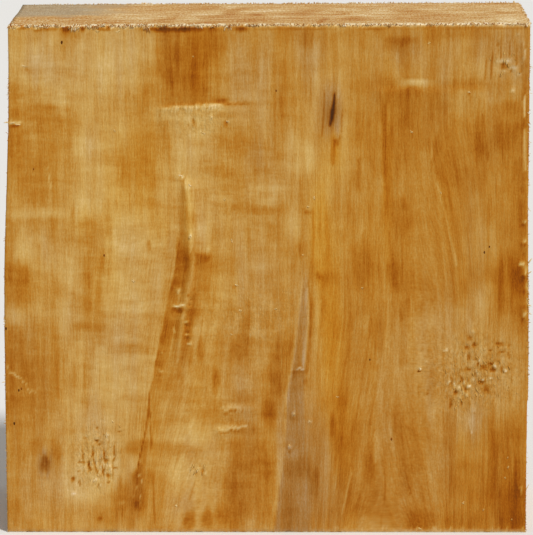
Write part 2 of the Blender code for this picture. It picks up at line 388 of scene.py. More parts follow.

# %% [markdown]
# ### The ridge's stain and painted shade
# The stain on the left flank of the ridge begins sharply along one fibre and fades to the right, so it
# isn't an oval: its rim is a line of (x, height, shade) points. The dark band right along that rim is
# painted shade of the ridge's steep left side. The ridge's own dark patches, and one small dark spot low
# on the left, go over it; two of those patches are a painted shadow under the bright crossbar.

# %% A stain with one crisp side, and a painted shadow along it
# x, height and shade along the rim: the dark band they give is painted shade of the ridge's left side
SHADED_RIM = [
    (-35.4, 119, 7.6), (-35.8, 112, 9.6), (-36.6, 106, 9.2), (-38, 99, 8.2), (-39.6, 92.5, 8),
    (-41.2, 84, 8.2), (-42.4, 78, 7.8), (-43.8, 71, 7.2), (-45, 64, 7), (-46.6, 57, 6.6),
]
RIM_REACH = 3.4
FLANK_REACH = 9
FLANK_SHADE = 6.2
RIDGE_FIGURE = [
    (-88.4, 27.9, 1.9, 3.4, 10.2), (-88.2, 29.4, 1.2, 1.6, 11.4), (-32.6, 110, 2.6, 5.5, 9.8),
    (-33.6, 102, 1.8, 4, 8.4), (-25, 111.2, 2.8, 1.3, 9.4), (-25.6, 106, 2.8, 6, 7.6),
    (-25.4, 99, 2.6, 5, 6.4), (-22.5, 106, 1.2, 5, 5.6), (-36.6, 84, 1.8, 5, 6.6),
    # the first two ovals of the next line are a painted shadow under the bright crossbar
    (-35.4, 90.5, 2.6, 0.8, 10.6), (-36, 88.8, 2.2, 0.7, 7.6), (-27.5, 91, 2.2, 4, 6.8),
    (-30.5, 73, 1.6, 6, 6.6), (-37.4, 72, 1.6, 7, 4.6), (-44, 50, 1.6, 10, 5.8), (-31.6, 133, 1, 12, 4.4),
    (-28.8, 124, 1.4, 8, 3.4), (-48.6, 31, 1.4, 5, 7.2), (-52, 22, 1.6, 4, 7.6),
]


def lay_ridge(shade, x, z):
    """Amber wash from the rim to the right, a dark band along the rim that is painted shade of the ridge's
    steep left side, then the ridge's patches.
    """
    rim_x, heights, shades = np.array(SHADED_RIM[::-1]).T
    right = x - np.interp(z, heights, rim_x) + 0.35 * cloud(x / 0.9, z / 2.4, 28)
    ends = ease((z - heights[0] + 3) / 6) * ease((heights[-1] + 3 - z) / 6)
    inside = ease(right / 0.9 + 0.3) * ends
    shade = lay(shade, FLANK_SHADE, 0.85 * inside * np.exp(-((right / FLANK_REACH) ** 4)))
    rim_shadow = inside * np.exp(-((right / RIM_REACH) ** 2))
    shade = lay(shade, np.interp(z, heights, shades), 0.95 * rim_shadow)
    return lay_ovals(shade, RIDGE_FIGURE, wavy(x, z), z + fray(x, z), 0.92, 1.8)


print("rim from", SHADED_RIM[-1][1], "to", SHADED_RIM[0][1], "mm high")

# %% [markdown]
# ### The grey heart streak
# A streak of grey heartwood is narrow at its top end and wide at the foot. Its two sides are given by
# height, and its depths are darker ovals in it.

# %% The heart streak
GREY_HEART = [  # height, left and right side, shade
    (106, 15.2, 16.2, 3.6), (97, 14, 16.4, 4.6), (89, 13, 16.4, 5.6), (80, 12, 15.7, 6.4),
    (67, 10.2, 15.3, 6.8), (57, 8.4, 14.7, 5.6), (45, 7.8, 14.8, 5), (34, 7.2, 15.6, 5.4),
    (25, 6.6, 17.4, 6.2), (18, 5, 18.6, 5.8), (10, 4.2, 18, 5.6), (0, 3, 17, 5.6),
]
GREY_DEPTHS = [
    (12.6, 67, 2, 2, 9.4), (14.5, 27, 2.8, 4.4, 8.2), (19.4, 22, 1.6, 5, 8.2), (8.4, 6, 3.2, 8, 7.6),
    (10, 20, 2, 9, 6.8), (10.6, 47.5, 1.6, 1.6, 7.4), (9.2, 34, 1, 0.8, 10),
]


def grey_cover(x, z):
    """1 inside the grey heart streak and 0 outside: soft steps from its left and right sides."""
    heights, left, right, _ = np.array(GREY_HEART[::-1]).T
    sway = x + 0.35 * fray(x, z)
    inside = ease((sway - np.interp(z, heights, left) + 0.5) / 1.2)
    return inside * ease((np.interp(z, heights, right) - sway + 0.9) / 1.8) * ease((108 - z) / 10)


def lay_heart(shade, x, z):
    """The streak's own shade by height, then its darker depths."""
    heights, _, _, shades = np.array(GREY_HEART[::-1]).T
    shade = lay(shade, np.interp(z, heights, shades), 0.8 * grey_cover(x, z))
    return lay_ovals(shade, GREY_DEPTHS, wavy(x, z), z + 2 * fray(x, z), 0.8, 1.3)


print("heart streak", GREY_HEART[-1][2] - GREY_HEART[-1][1], "mm wide at the foot")

# %% [markdown]
# ### The open shake
# Right of the middle the wood has split open along one fibre. The slot is a bent path, with a half width
# at each point. It is nearly black inside, a painted shadow in the split, brown round its lips, and pale
# further out.

# %% A path, and the shake along it
SLOT_PATH = [  # x, height and half width
    (26.8, 176.5, 0.25), (26.5, 173, 0.5), (26, 169.5, 0.75), (25.6, 167, 0.65), (25.1, 164.8, 0.35),
]
SHAKE_HALO = (26.4, 169, 3.4, 17)  # the pale oval round it
# the slot's near black is painted shadow inside the split
SHAKE_SHADES = (4.4, 8.8, 15.4)  # halo, lips and slot


def near_line(x, z, start, end):
    """Distance from the line between two (x, z) points, and the share of the way along it."""
    run = np.subtract(end, start)
    share = ((x - start[0]) * run[0] + (z - start[1]) * run[1]) / (run @ run)
    share = np.clip(share, 0, 1)
    away = np.hypot(x - start[0] - share * run[0], z - start[1] - share * run[1])
    return away, share


def along_path(x, z, path):
    """Distance from a bent path of (x, height, value) points, and the value at the nearest spot on it."""
    nearest = np.full(np.shape(x), np.inf)
    value = np.zeros(np.shape(x))
    for start, end in zip(path, path[1:]):
        away, share = near_line(x, z, start[:2], end[:2])
        here = start[2] + (end[2] - start[2]) * share
        value = np.where(away < nearest, here, value)
        nearest = np.minimum(away, nearest)
    return nearest, value


def lay_shake(shade, x, z):
    """The halo, then the lips, then the slot's painted shadow: bells of the distance from the path."""
    halo, lips, slot = SHAKE_SHADES
    away, width = along_path(x, z, SLOT_PATH)
    shade = lay(shade, halo, 0.7 * spot(x, z, *SHAKE_HALO, 1.4))
    shade = lay(shade, lips, 0.6 * np.exp(-BELL * (away / (width + 0.9)) ** 2))
    return lay(shade, slot, 0.9 * np.exp(-BELL * (away / width) ** 2))


print("shake", SLOT_PATH[0][1] - SLOT_PATH[-1][1], "mm long")

# %% [markdown]
# ### The long saw step
# Left of the middle the saw slipped. It left a level step with a dark stain above it, a pale band below,
# and a comb of torn fibre teeth hanging from it, painted paler on their crests and darker between them:
# a painted highlight and painted shade.

# %% The step and its comb
STEP_X = (-42, -32, -18, -5)
STEP_HEIGHTS = (171.5, 172.3, 173.0, 173.3)
STEP_WEDGE = (-17.6, 174, 2.6, 0.8)  # a dark corner above the step's right end


def long_step(x):
    """Height of the long saw step, left of the middle."""
    return np.interp(x, STEP_X, STEP_HEIGHTS) + 0.2 * cloud(x / 1.2, x * 0, 61)


def comb_band(x, z):
    """1 in the torn fringe under the long step, which is 2 to 4 mm high, and 0 elsewhere."""
    below = long_step(x) - z
    long = 2.4 + 1.6 * cloud(x / 3, z * 0, 57)
    ends = ease((x + 42) / 3) * ease((-16 - x) / 2)
    return ease(below / 0.5 + 0.4) * (1 - ease(below / long - 0.35)) * ends


def comb(x, z):
    """Upright teeth of torn fibre about a millimetre apart, 0 to 1, within the fringe."""
    return comb_band(x, z) * (0.5 + 0.5 * np.sin(x * 5.6 + 3.2 * cloud(x / 2.2, z / 2, 58)))


def lay_step(shade, x, z):
    """The dark stain, the pale band, the comb's painted highlight and shade, a dark line at the right end
    and a dark corner above it.
    """
    above = z - long_step(x)
    reach = ease((x + 44) / 4) * ease((-14 - x) / 3)
    dark = reach * (0.25 + 0.75 * ease((x + 36) / 8))
    shade = lay(shade, 8.0, 0.7 * dark * ease(above / 0.4) * np.exp(-((above / 2.5) ** 2)))
    shade = lay(shade, 1.6, 0.85 * reach * ease(0.5 - above / 0.5) * np.exp(-((above / 4) ** 4)))
    band = comb_band(x, z)
    # painted highlight on the comb's teeth and painted shade between them
    shade = shade + 3.0 * (0.35 - comb(x, z)) * (band > 0) - 1.6 * band
    dark_line = np.exp(-(((above + 0.25) / 0.5) ** 2)) * ease((x + 18) / 3) * ease((-4 - x) / 5)
    shade = lay(shade, 8.4, 0.85 * dark_line)
    return lay(shade, 9.8, 0.85 * spot(x, z, *STEP_WEDGE, 1.6) * ease(above / 0.3))


print("step rises", STEP_HEIGHTS[-1] - STEP_HEIGHTS[0], "mm to the right")

# %% [markdown]
# ### Hollows and lumps, with painted shade and highlights
# Where fibres tore out they left hollows, and where they were lifted they stand as lumps. The shade darkens
# each hollow, a painted shadow, and lightens each lump, partly pale lifted fibre and partly a painted
# highlight. Both are real relief later, so they are listed once: x, height, half width, half height, and
# depth or height.

# %% Hollows and lumps of torn fibre
PITS = [
    (79.3,75.4,1,0.6,0.5), (82,76.3,0.8,0.7,0.6), (80.5,79.4,0.7,1,0.3), (92,76.8,1.1,0.6,0.4),
    (96,76.5,0.5,0.6,0.3), (88.5,74.4,0.8,0.4,0.3), (92.7,73.4,0.5,0.7,0.4), (93.8,73.9,0.4,0.4,0.5),
    (96.2,72.5,0.4,0.9,0.4), (83,71,0.6,0.4,0.3), (80.2,71.5,0.6,1.1,0.3), (83.8,69.2,0.4,1,0.4),
    (89,68.8,1,0.6,0.5), (89.7,66.5,0.8,0.8,0.5), (93.5,66.4,0.5,1.1,0.5), (80,66.7,0.9,0.5,0.4),
    (82,64,0.7,0.6,0.3), (77.5,62.4,0.35,1.1,0.4), (73.5,62,0.4,1.1,0.3), (85.5,61.3,1,0.5,0.5),
    (79,58.8,0.5,0.7,0.4), (75,57.3,0.7,0.5,0.4), (73.2,52.6,0.4,1.4,0.5), (77.5,53,0.4,1.1,0.4),
    (64,57.5,0.4,0.5,0.4), (60.4,66,0.4,0.4,0.5), (87.4,58.6,1.2,1.3,0.2), (86.5,67.2,1.4,0.8,0.2),
    (-73.2,31.4,0.25,1.8,0.3), (-69.6,32.4,0.3,1.6,0.4), (-68.6,28.6,0.3,1.8,0.4), (-66.8,29.6,0.3,1.5,0.4),
    (-65.1,32,0.3,2,0.4), (-60.9,31.6,0.35,2,0.5), (-61.6,28,0.25,1.4,0.3), (-71,27.6,0.5,1.5,0.5),
    (-64.9,24.2,0.3,1.3,0.4), (-63,23.2,0.6,0.8,0.5), (-77.2,21.8,0.5,0.9,0.4), (-67.8,37.5,0.7,0.5,0.4),
    (-66.4,36.3,0.6,0.4,0.3), (-64,29.5,0.7,0.35,0.4), (-67.4,42.4,0.5,0.5,0.4), (-72.4,39,0.9,0.4,0.2),
    (-67.2,18.9,0.5,0.4,0.3), (-74.9,20.5,0.3,1.2,0.3), (-63.2,37.5,0.4,0.4,0.3), (-74.4,28.9,0.8,0.3,0.3),
    (-60.8,26.2,0.8,0.3,0.3), (-58.6,41.2,0.5,0.3,0.3), (92.4,187.6,1,0.7,0.4), (99.4,186.4,0.4,1.4,0.4),
    (90.5,195,0.3,2,0.3), (96,185.6,0.8,0.6,0.4), (100.9,124.4,0.6,0.7,0.5), (101.5,113.2,0.6,1,0.5),
    (101.2,107.2,0.8,0.5,0.5), (100.6,102.8,0.9,0.6,0.6), (100.4,138.6,0.5,1.2,0.3), (101.4,86,0.5,1.2,0.4),
    (101.2,14,0.5,1.6,0.4), (100,28.5,0.9,0.25,0.5), (-35,90.2,1.6,0.5,0.5), (-33.8,97.2,0.6,0.5,0.4),
    (-28.6,166,0.5,0.7,0.4), (-33.8,160.4,0.6,0.6,0.2), (-15.2,165.2,0.6,0.4,0.4), (-29.6,95.3,0.5,0.5,0.5),
    (-30.6,93,0.5,0.5,0.5), (-31.6,90,0.5,0.6,0.5), (-32.2,87,0.5,0.6,0.5), (-32,84.2,0.5,0.5,0.5),
    (-31.6,81.6,0.5,0.5,0.4), (-31.4,78.6,0.5,0.5,0.4), (-28.2,24.6,0.4,0.8,0.4), (-25.4,25.4,0.4,0.7,0.4),
    (-29.4,27,0.3,0.7,0.3), (-26.4,27.4,0.4,0.5,0.3),
]
LUMPS = [
    (90.6,68.2,0.5,0.7,0.6), (94.7,66.4,0.7,0.5,0.5), (88.8,63.2,0.7,0.5,0.5), (86,62.5,0.4,0.5,0.5),
    (84.1,70.2,0.4,0.5,0.4), (80.3,59.9,0.6,0.5,0.5), (79.5,56.3,0.6,0.5,0.4), (76.3,58.7,1,0.8,0.4),
    (76.8,55.6,0.7,0.5,0.3), (72.4,61.6,0.4,0.8,0.4), (71.2,58,0.3,0.6,0.3), (71,74.6,0.7,0.4,0.3),
    (86.6,75,0.6,0.5,0.3), (82,81.8,0.8,0.5,0.3), (83.6,65,0.4,1.3,0.3), (78.6,61.4,0.5,1,0.4),
    (94.6,75.4,0.5,0.6,0.3), (60.9,66.8,0.4,0.5,0.5), (63.3,70,0.5,0.4,0.2), (82,50,0.9,0.9,0.2),
    (-67.4,38.4,0.7,0.4,0.4), (-63.3,40.3,0.7,0.5,0.5), (-63,30.7,0.5,0.4,0.4), (-74.2,29.8,0.5,0.5,0.4),
    (-66.2,27.2,0.6,0.5,0.3), (-62.2,26.4,0.5,0.6,0.4), (-77,16,0.6,0.6,0.3), (-66,19.6,0.6,0.4,0.3),
    (-67.6,30.6,0.4,1.5,0.3), (-65.8,32,0.3,1.2,0.3), (-68.2,21.8,0.5,0.6,0.3), (-64,38.6,0.5,0.4,0.3),
    (-72.6,26.8,0.5,0.8,0.2), (-58.4,42,0.4,0.3,0.3), (-35,98.4,0.8,0.8,0.3), (-34.6,92.4,2.2,0.4,0.5),
    (-28.6,97.8,0.6,0.7,0.3), (-29.4,95.9,0.5,0.5,0.3), (-30.3,91.6,0.5,0.7,0.3), (-31.6,85.6,0.8,0.5,0.4),
    (-31,83,0.6,0.5,0.3), (-30.8,80.2,0.6,0.6,0.3), (-30.4,77.2,0.6,0.5,0.3), (-29.8,88.6,0.4,0.8,0.2),
    (-42.2,66,0.6,0.5,0.2), (-41.4,73.5,0.4,0.7,0.2), (-34,144.4,1.3,0.5,0.4), (-30,140.6,0.4,0.4,0.3),
    (-30,120.3,0.5,0.5,0.4), (-22.6,115,1.1,0.5,0.15), (-28.4,164,0.5,1.2,0.2), (-21.6,167.6,0.6,0.8,0.3),
    (-30,160.5,0.5,0.6,0.2), (13.4,66.9,1.6,0.5,0.25), (10.8,48.4,0.7,0.6,0.4), (17.2,45.4,0.6,0.5,0.3),
    (9.2,35,0.6,0.8,0.3), (-27.2,26,0.4,0.8,0.3), (-24.6,24.2,0.4,0.7,0.2), (-30.4,25.6,0.3,0.6,0.2),
    (90.4,190.2,0.7,0.5,0.5), (92,189.2,0.9,0.5,0.4), (94.8,190.4,1.4,0.5,0.6), (96.8,187.4,0.9,0.5,0.5),
    (98.8,184.6,0.6,0.6,0.5), (101,191,0.4,1.3,0.5), (100.4,196,0.4,1.6,0.3), (93.2,186,0.6,0.5,0.4),
    (96.4,178.3,0.6,0.5,0.4), (101.5,140.8,0.7,0.5,0.5), (101.5,126.2,0.7,0.7,0.4), (101.7,117,0.4,0.7,0.4),
    (100.8,109.4,1,0.6,0.5), (101.6,105.4,0.7,0.6,0.5), (101.9,90,0.5,1.8,0.4), (101.6,17.4,0.4,1.6,0.4),
    (98.6,200.5,0.6,0.6,0.3),
]
# the hollows' painted shadow, and the lumps' pale fibre with a painted highlight
HOLLOW_PAINTED_SHADE = 10.5
LUMP_PALE_AND_HIGHLIGHT = -2.5


def lay_hollow_shade_and_lump_highlights(shade, x, z):
    """A painted shadow in every hollow, and pale fibre with a painted highlight on every lump: the deeper
    or higher, the more.
    """
    place = ragged_place(x, z)
    for *oval, depth in PITS:
        shade = lay(shade, HOLLOW_PAINTED_SHADE, (0.45 + 0.8 * depth) * spot(*place, *oval, 1.4))
    for *oval, proud in LUMPS:
        shade = lay(shade, LUMP_PALE_AND_HIGHLIGHT, (0.25 + 0.9 * proud) * spot(*place, *oval, 1.4))
    return shade


print(len(PITS), "hollows and", len(LUMPS), "lumps")

# %% [markdown]
# ### Streaks
# Streaks are longer than patches and bend with the grain, so each is a half width and a path of
# (x, height, shade) points. The dark ones mark single stained fibres, the pale ones clean fibres beside
# them. A few are painted light: on the ridge, the pale streaks along its lit crest are painted highlights
# and the dark one left of the crest near its top is painted shade; low in the middle, the pale lips of two
# small saw steps are painted highlights, with painted shade along them.

# %% Streaks
STREAKS = [
    (1.6, [(-28.4,97,7.6), (-30.2,88,8.4), (-31.6,80,8.6), (-33.6,72,7.4), (-35,63,6.2)]),
    (0.7, [(-29.3,110,7.2), (-30.2,101,8), (-31.2,94,8.4)]),
    # painted shade on the left side of the ridge's crest
    (1.2, [(-32.8,143,4.8), (-33,136,6.2), (-33.2,128,6.2), (-33,119,6.8)]),
    (0.3, [(-46.5,57,11), (-47.2,49,10), (-48.3,41,9), (-49.8,34,11), (-51.2,28,11), (-52,20,10)]),
    (0.25, [(-46.4,56,9), (-46.6,50,9), (-46.1,42,9), (-46.2,33,8.6)]),
    (0.3, [(-45.5,24,7.6), (-45.1,12,8.8), (-44.8,4,8)]), (0.2, [(-73.2,34,7.2), (-73,30,7.8)]),
    (0.22, [(-69.6,34.4,5.4), (-69,31,8.4), (-68.3,27,7.6), (-67.4,24.6,6)]),
    (0.22, [(-67,32,5.4), (-65.8,28,8.4), (-64.8,23,7.4)]), (0.24, [(-65.2,33.6,6.8), (-64.7,29.4,8.4)]),
    (0.26, [(-61,34,7.6), (-60.7,30.4,8.8)]), (0.18, [(-61.6,29,7), (-61.5,22,6.6)]),
    (0.9, [(-50.4,26,8), (-51,16,8.6)]), (2.2, [(66,160,7.9), (70,138,7.6), (74,118,7.2), (76,100,6.7)]),
    (0.8, [(53.6,46,7), (54.2,34,8.6), (55,25,9.2), (56.8,16,10)]),
    (0.8, [(46.4,172,7.4), (47.2,158,8), (47.6,142,8.2), (48.2,128,7.8)]),
    (0.6, [(48.4,122,8), (49.6,112,8.4), (51.6,100,8.6), (53.4,88,7.6)]),
    (0.4, [(44.4,184,7.6), (45.2,172,8.2), (46,160,7.6)]),
    (0.35, [(64.8,176,8.4), (65,168,8), (65.8,158,7.4)]), (0.4, [(57.4,172,8), (57.6,160,8.4)]),
    (0.5, [(66.4,156,9), (68.6,144,8.8), (70.6,134,7.6)]),
    (0.4, [(71.6,116,8), (73,106,8.2), (74.4,98,7.4)]),
    (0.4, [(84.8,168,8.6), (86.6,152,8.4), (88.4,138,7.8), (89.4,128,7.4)]),
    (0.4, [(38.2,122,7.6), (38.4,110,8.4), (38,100,7.6)]), (0.5, [(36.4,152,7.4), (36.2,140,7.8)]),
    (0.35, [(41.4,86,8), (39.8,74,7.6), (37.6,60,7.8), (35.6,46,7.4)]),
    (0.3, [(44,68,7.6), (42.6,54,7.2), (41.2,44,7.4)]), (0.35, [(33,88,7.6), (31.6,72,7.8), (29.6,58,8.2)]),
    (0.4, [(36.2,44,7.8), (33.8,32,8), (31.4,20,7.6)]), (0.3, [(48.8,34,8), (48.6,22,7.4)]),
    (0.3, [(73,40,6.8), (72.8,20,7), (73.2,2,7.6)]), (0.35, [(47.6,26,7.6), (46.6,12,7.8), (45.4,2,7.4)]),
    # the next two are painted shade along the lips of two small saw steps
    (0.45, [(-17.4,48.9,8), (-13,49.4,8.4), (-9.6,50,7.6)]),
    (0.45, [(-18.4,40.9,7.6), (-13,40.9,8), (-8,41.8,7.4)]), (0.3, [(88.5,193,8), (88.2,185,7.6)]),
    (0.3, [(91.6,199,8), (91.8,192,8)]), (0.3, [(97.4,198,8.4), (97.6,188,8.4)]),
    (0.3, [(99.6,197,8), (99.4,187,8)]), (0.25, [(95.2,197,7.8), (95,191,7.6)]),
    (0.3, [(86,190,7.4), (85.6,182,7)]),
    (0.7, [(16.6,101,7), (17.7,93,8.8), (17.4,85,9.2), (17,77,8.9), (16,66,8.2)]),
    (0.3, [(18.4,131,7.4), (18.7,120,7.6), (18.4,108,7.2)]),
    (0.4, [(22.9,177,8.4), (22.5,168,8.8), (21.8,160,7)]), (0.3, [(29.6,170,6.6), (29.6,162,6.6)]),
    (0.8, [(28.4,159.4,10), (27.2,159,10.4), (26.6,156,8), (26.2,150,6.8)]),
]

PALE_STREAKS = [
    (0.35, [(101,174.2,-3.4), (101.1,167.2,-2.5)]),
    (0.4, [(101.5,163,1), (101.6,156,-1.6), (101.7,147,-1.6)]),
    (0.45, [(-68.7,33,1), (-67.4,28,-1), (-65.8,23,0.4)]),
    (0.4, [(-66.5,33,1), (-65.2,28,-1), (-63.8,22,0)]),
    (0.45, [(-63.6,32,0.6), (-62.6,26,-1.6), (-62.2,20,0)]), (0.35, [(-71.6,31,1), (-69.9,26,-1)]),
    (0.4, [(65.2,160,4), (65,152,3.6)]),
    (0.45, [(64.4,150,4.4), (66.6,143,4.2), (69,135,4.2), (71,128,4.2), (73,118,4.2), (75,108,4.6)]),
    (0.5, [(87,148,4.8), (88.4,136,4.4)]), (0.45, [(43.2,200,3.2), (43.4,186,3.4)]),
    # the next two are painted highlights on the lips of two small saw steps
    (0.5, [(-17.4,50.4,0), (-14,50.9,-0.6), (-10.6,51.6,0.4)]),
    (0.5, [(-18.8,42.2,0.4), (-14,42.2,-0.4), (-8,43.4,1)]), (0.3, [(-86,147,2), (-84.6,139,2)]),
    (0.35, [(80.4,45.6,-1.6), (81.7,41.4,-2)]), (0.4, [(39,84,4), (36.6,68,4), (34.6,54,4.4)]),
    (0.4, [(46.4,60,4), (45.2,46,4.2)]), (0.6, [(43.6,42,4), (43.8,30,4.2)]),
    (0.5, [(50.6,80,4), (50.4,62,4.2)]), (0.5, [(34,26,4.4), (30,8,4.6)]),
    # the second streak from here is a painted highlight on the ridge's lit crest
    (0.35, [(-103,67,1.5), (-92,57,1.5)]), (0.8, [(-31.4,144,-1), (-30.6,139,-1.8), (-29.8,132,-0.8),
    (-30,127,2), (-29.5,121,-0.8), (-29.2,115,2)]), (0.3, [(101,194,-2), (101.4,190.5,-1)]),
    # a painted highlight along the ridge's lit crest
    (0.7, [(-28.8,112,3), (-29.6,104,2.8), (-31.2,97,2.8), (-32.5,90,3), (-34,80,3.2), (-35.2,70,3.4)]),
    (0.55, [(15,106,3.4), (13.5,97,2.8), (12.5,88,2.8), (11.9,80,2.8), (10.6,70,3), (9.2,62,3)]),
    (0.5, [(15.9,98,3), (16.5,91,2.2), (16.3,85,2.4), (15.6,76,2.8), (14.6,69,3.4)]),
    (0.7, [(9.2,62,3), (7.4,52,3)]), (0.7, [(6.9,52,4.2), (6,44,4.4), (6,34,4.6), (4.3,20,3.8), (2.6,7,4)]),
    (0.8, [(19.6,100,3.2), (20,87,2.6), (19.5,77,2.6), (18.9,68,2.6), (18.5,58,3), (18,48,4)]),
    (0.5, [(29,185,2.4), (28.5,176,2.6)]),
]


def lay_streaks(shade, x, z):
    """Every streak in turn: a crisp bell of the distance from its frayed path."""
    ragged = fray(x, z)
    for half_width, path in STREAKS + PALE_STREAKS:
        away, streak = along_path(x + 0.4 * ragged, z + 2.5 * ragged, path)
        shade = lay(shade, streak, 0.95 * np.exp(-BELL * (away / half_width) ** 2.4))
    return shade


print(len(STREAKS), "dark and", len(PALE_STREAKS), "pale streaks")

# %% [markdown]
# ### Lips and flecks, painted highlights and painted shadows
# The last small marks are bright lips of fibre, painted highlights on their lit upper edges, with dark
# lines under them that are painted shadows. Then come the dark and pale flecks of the torn patches and
# the chewed edges: many dark ones are painted shade in hollows, many pale ones painted highlights on lumps,
# and some are the wood's own specks. They are ovals again, with torn outlines.

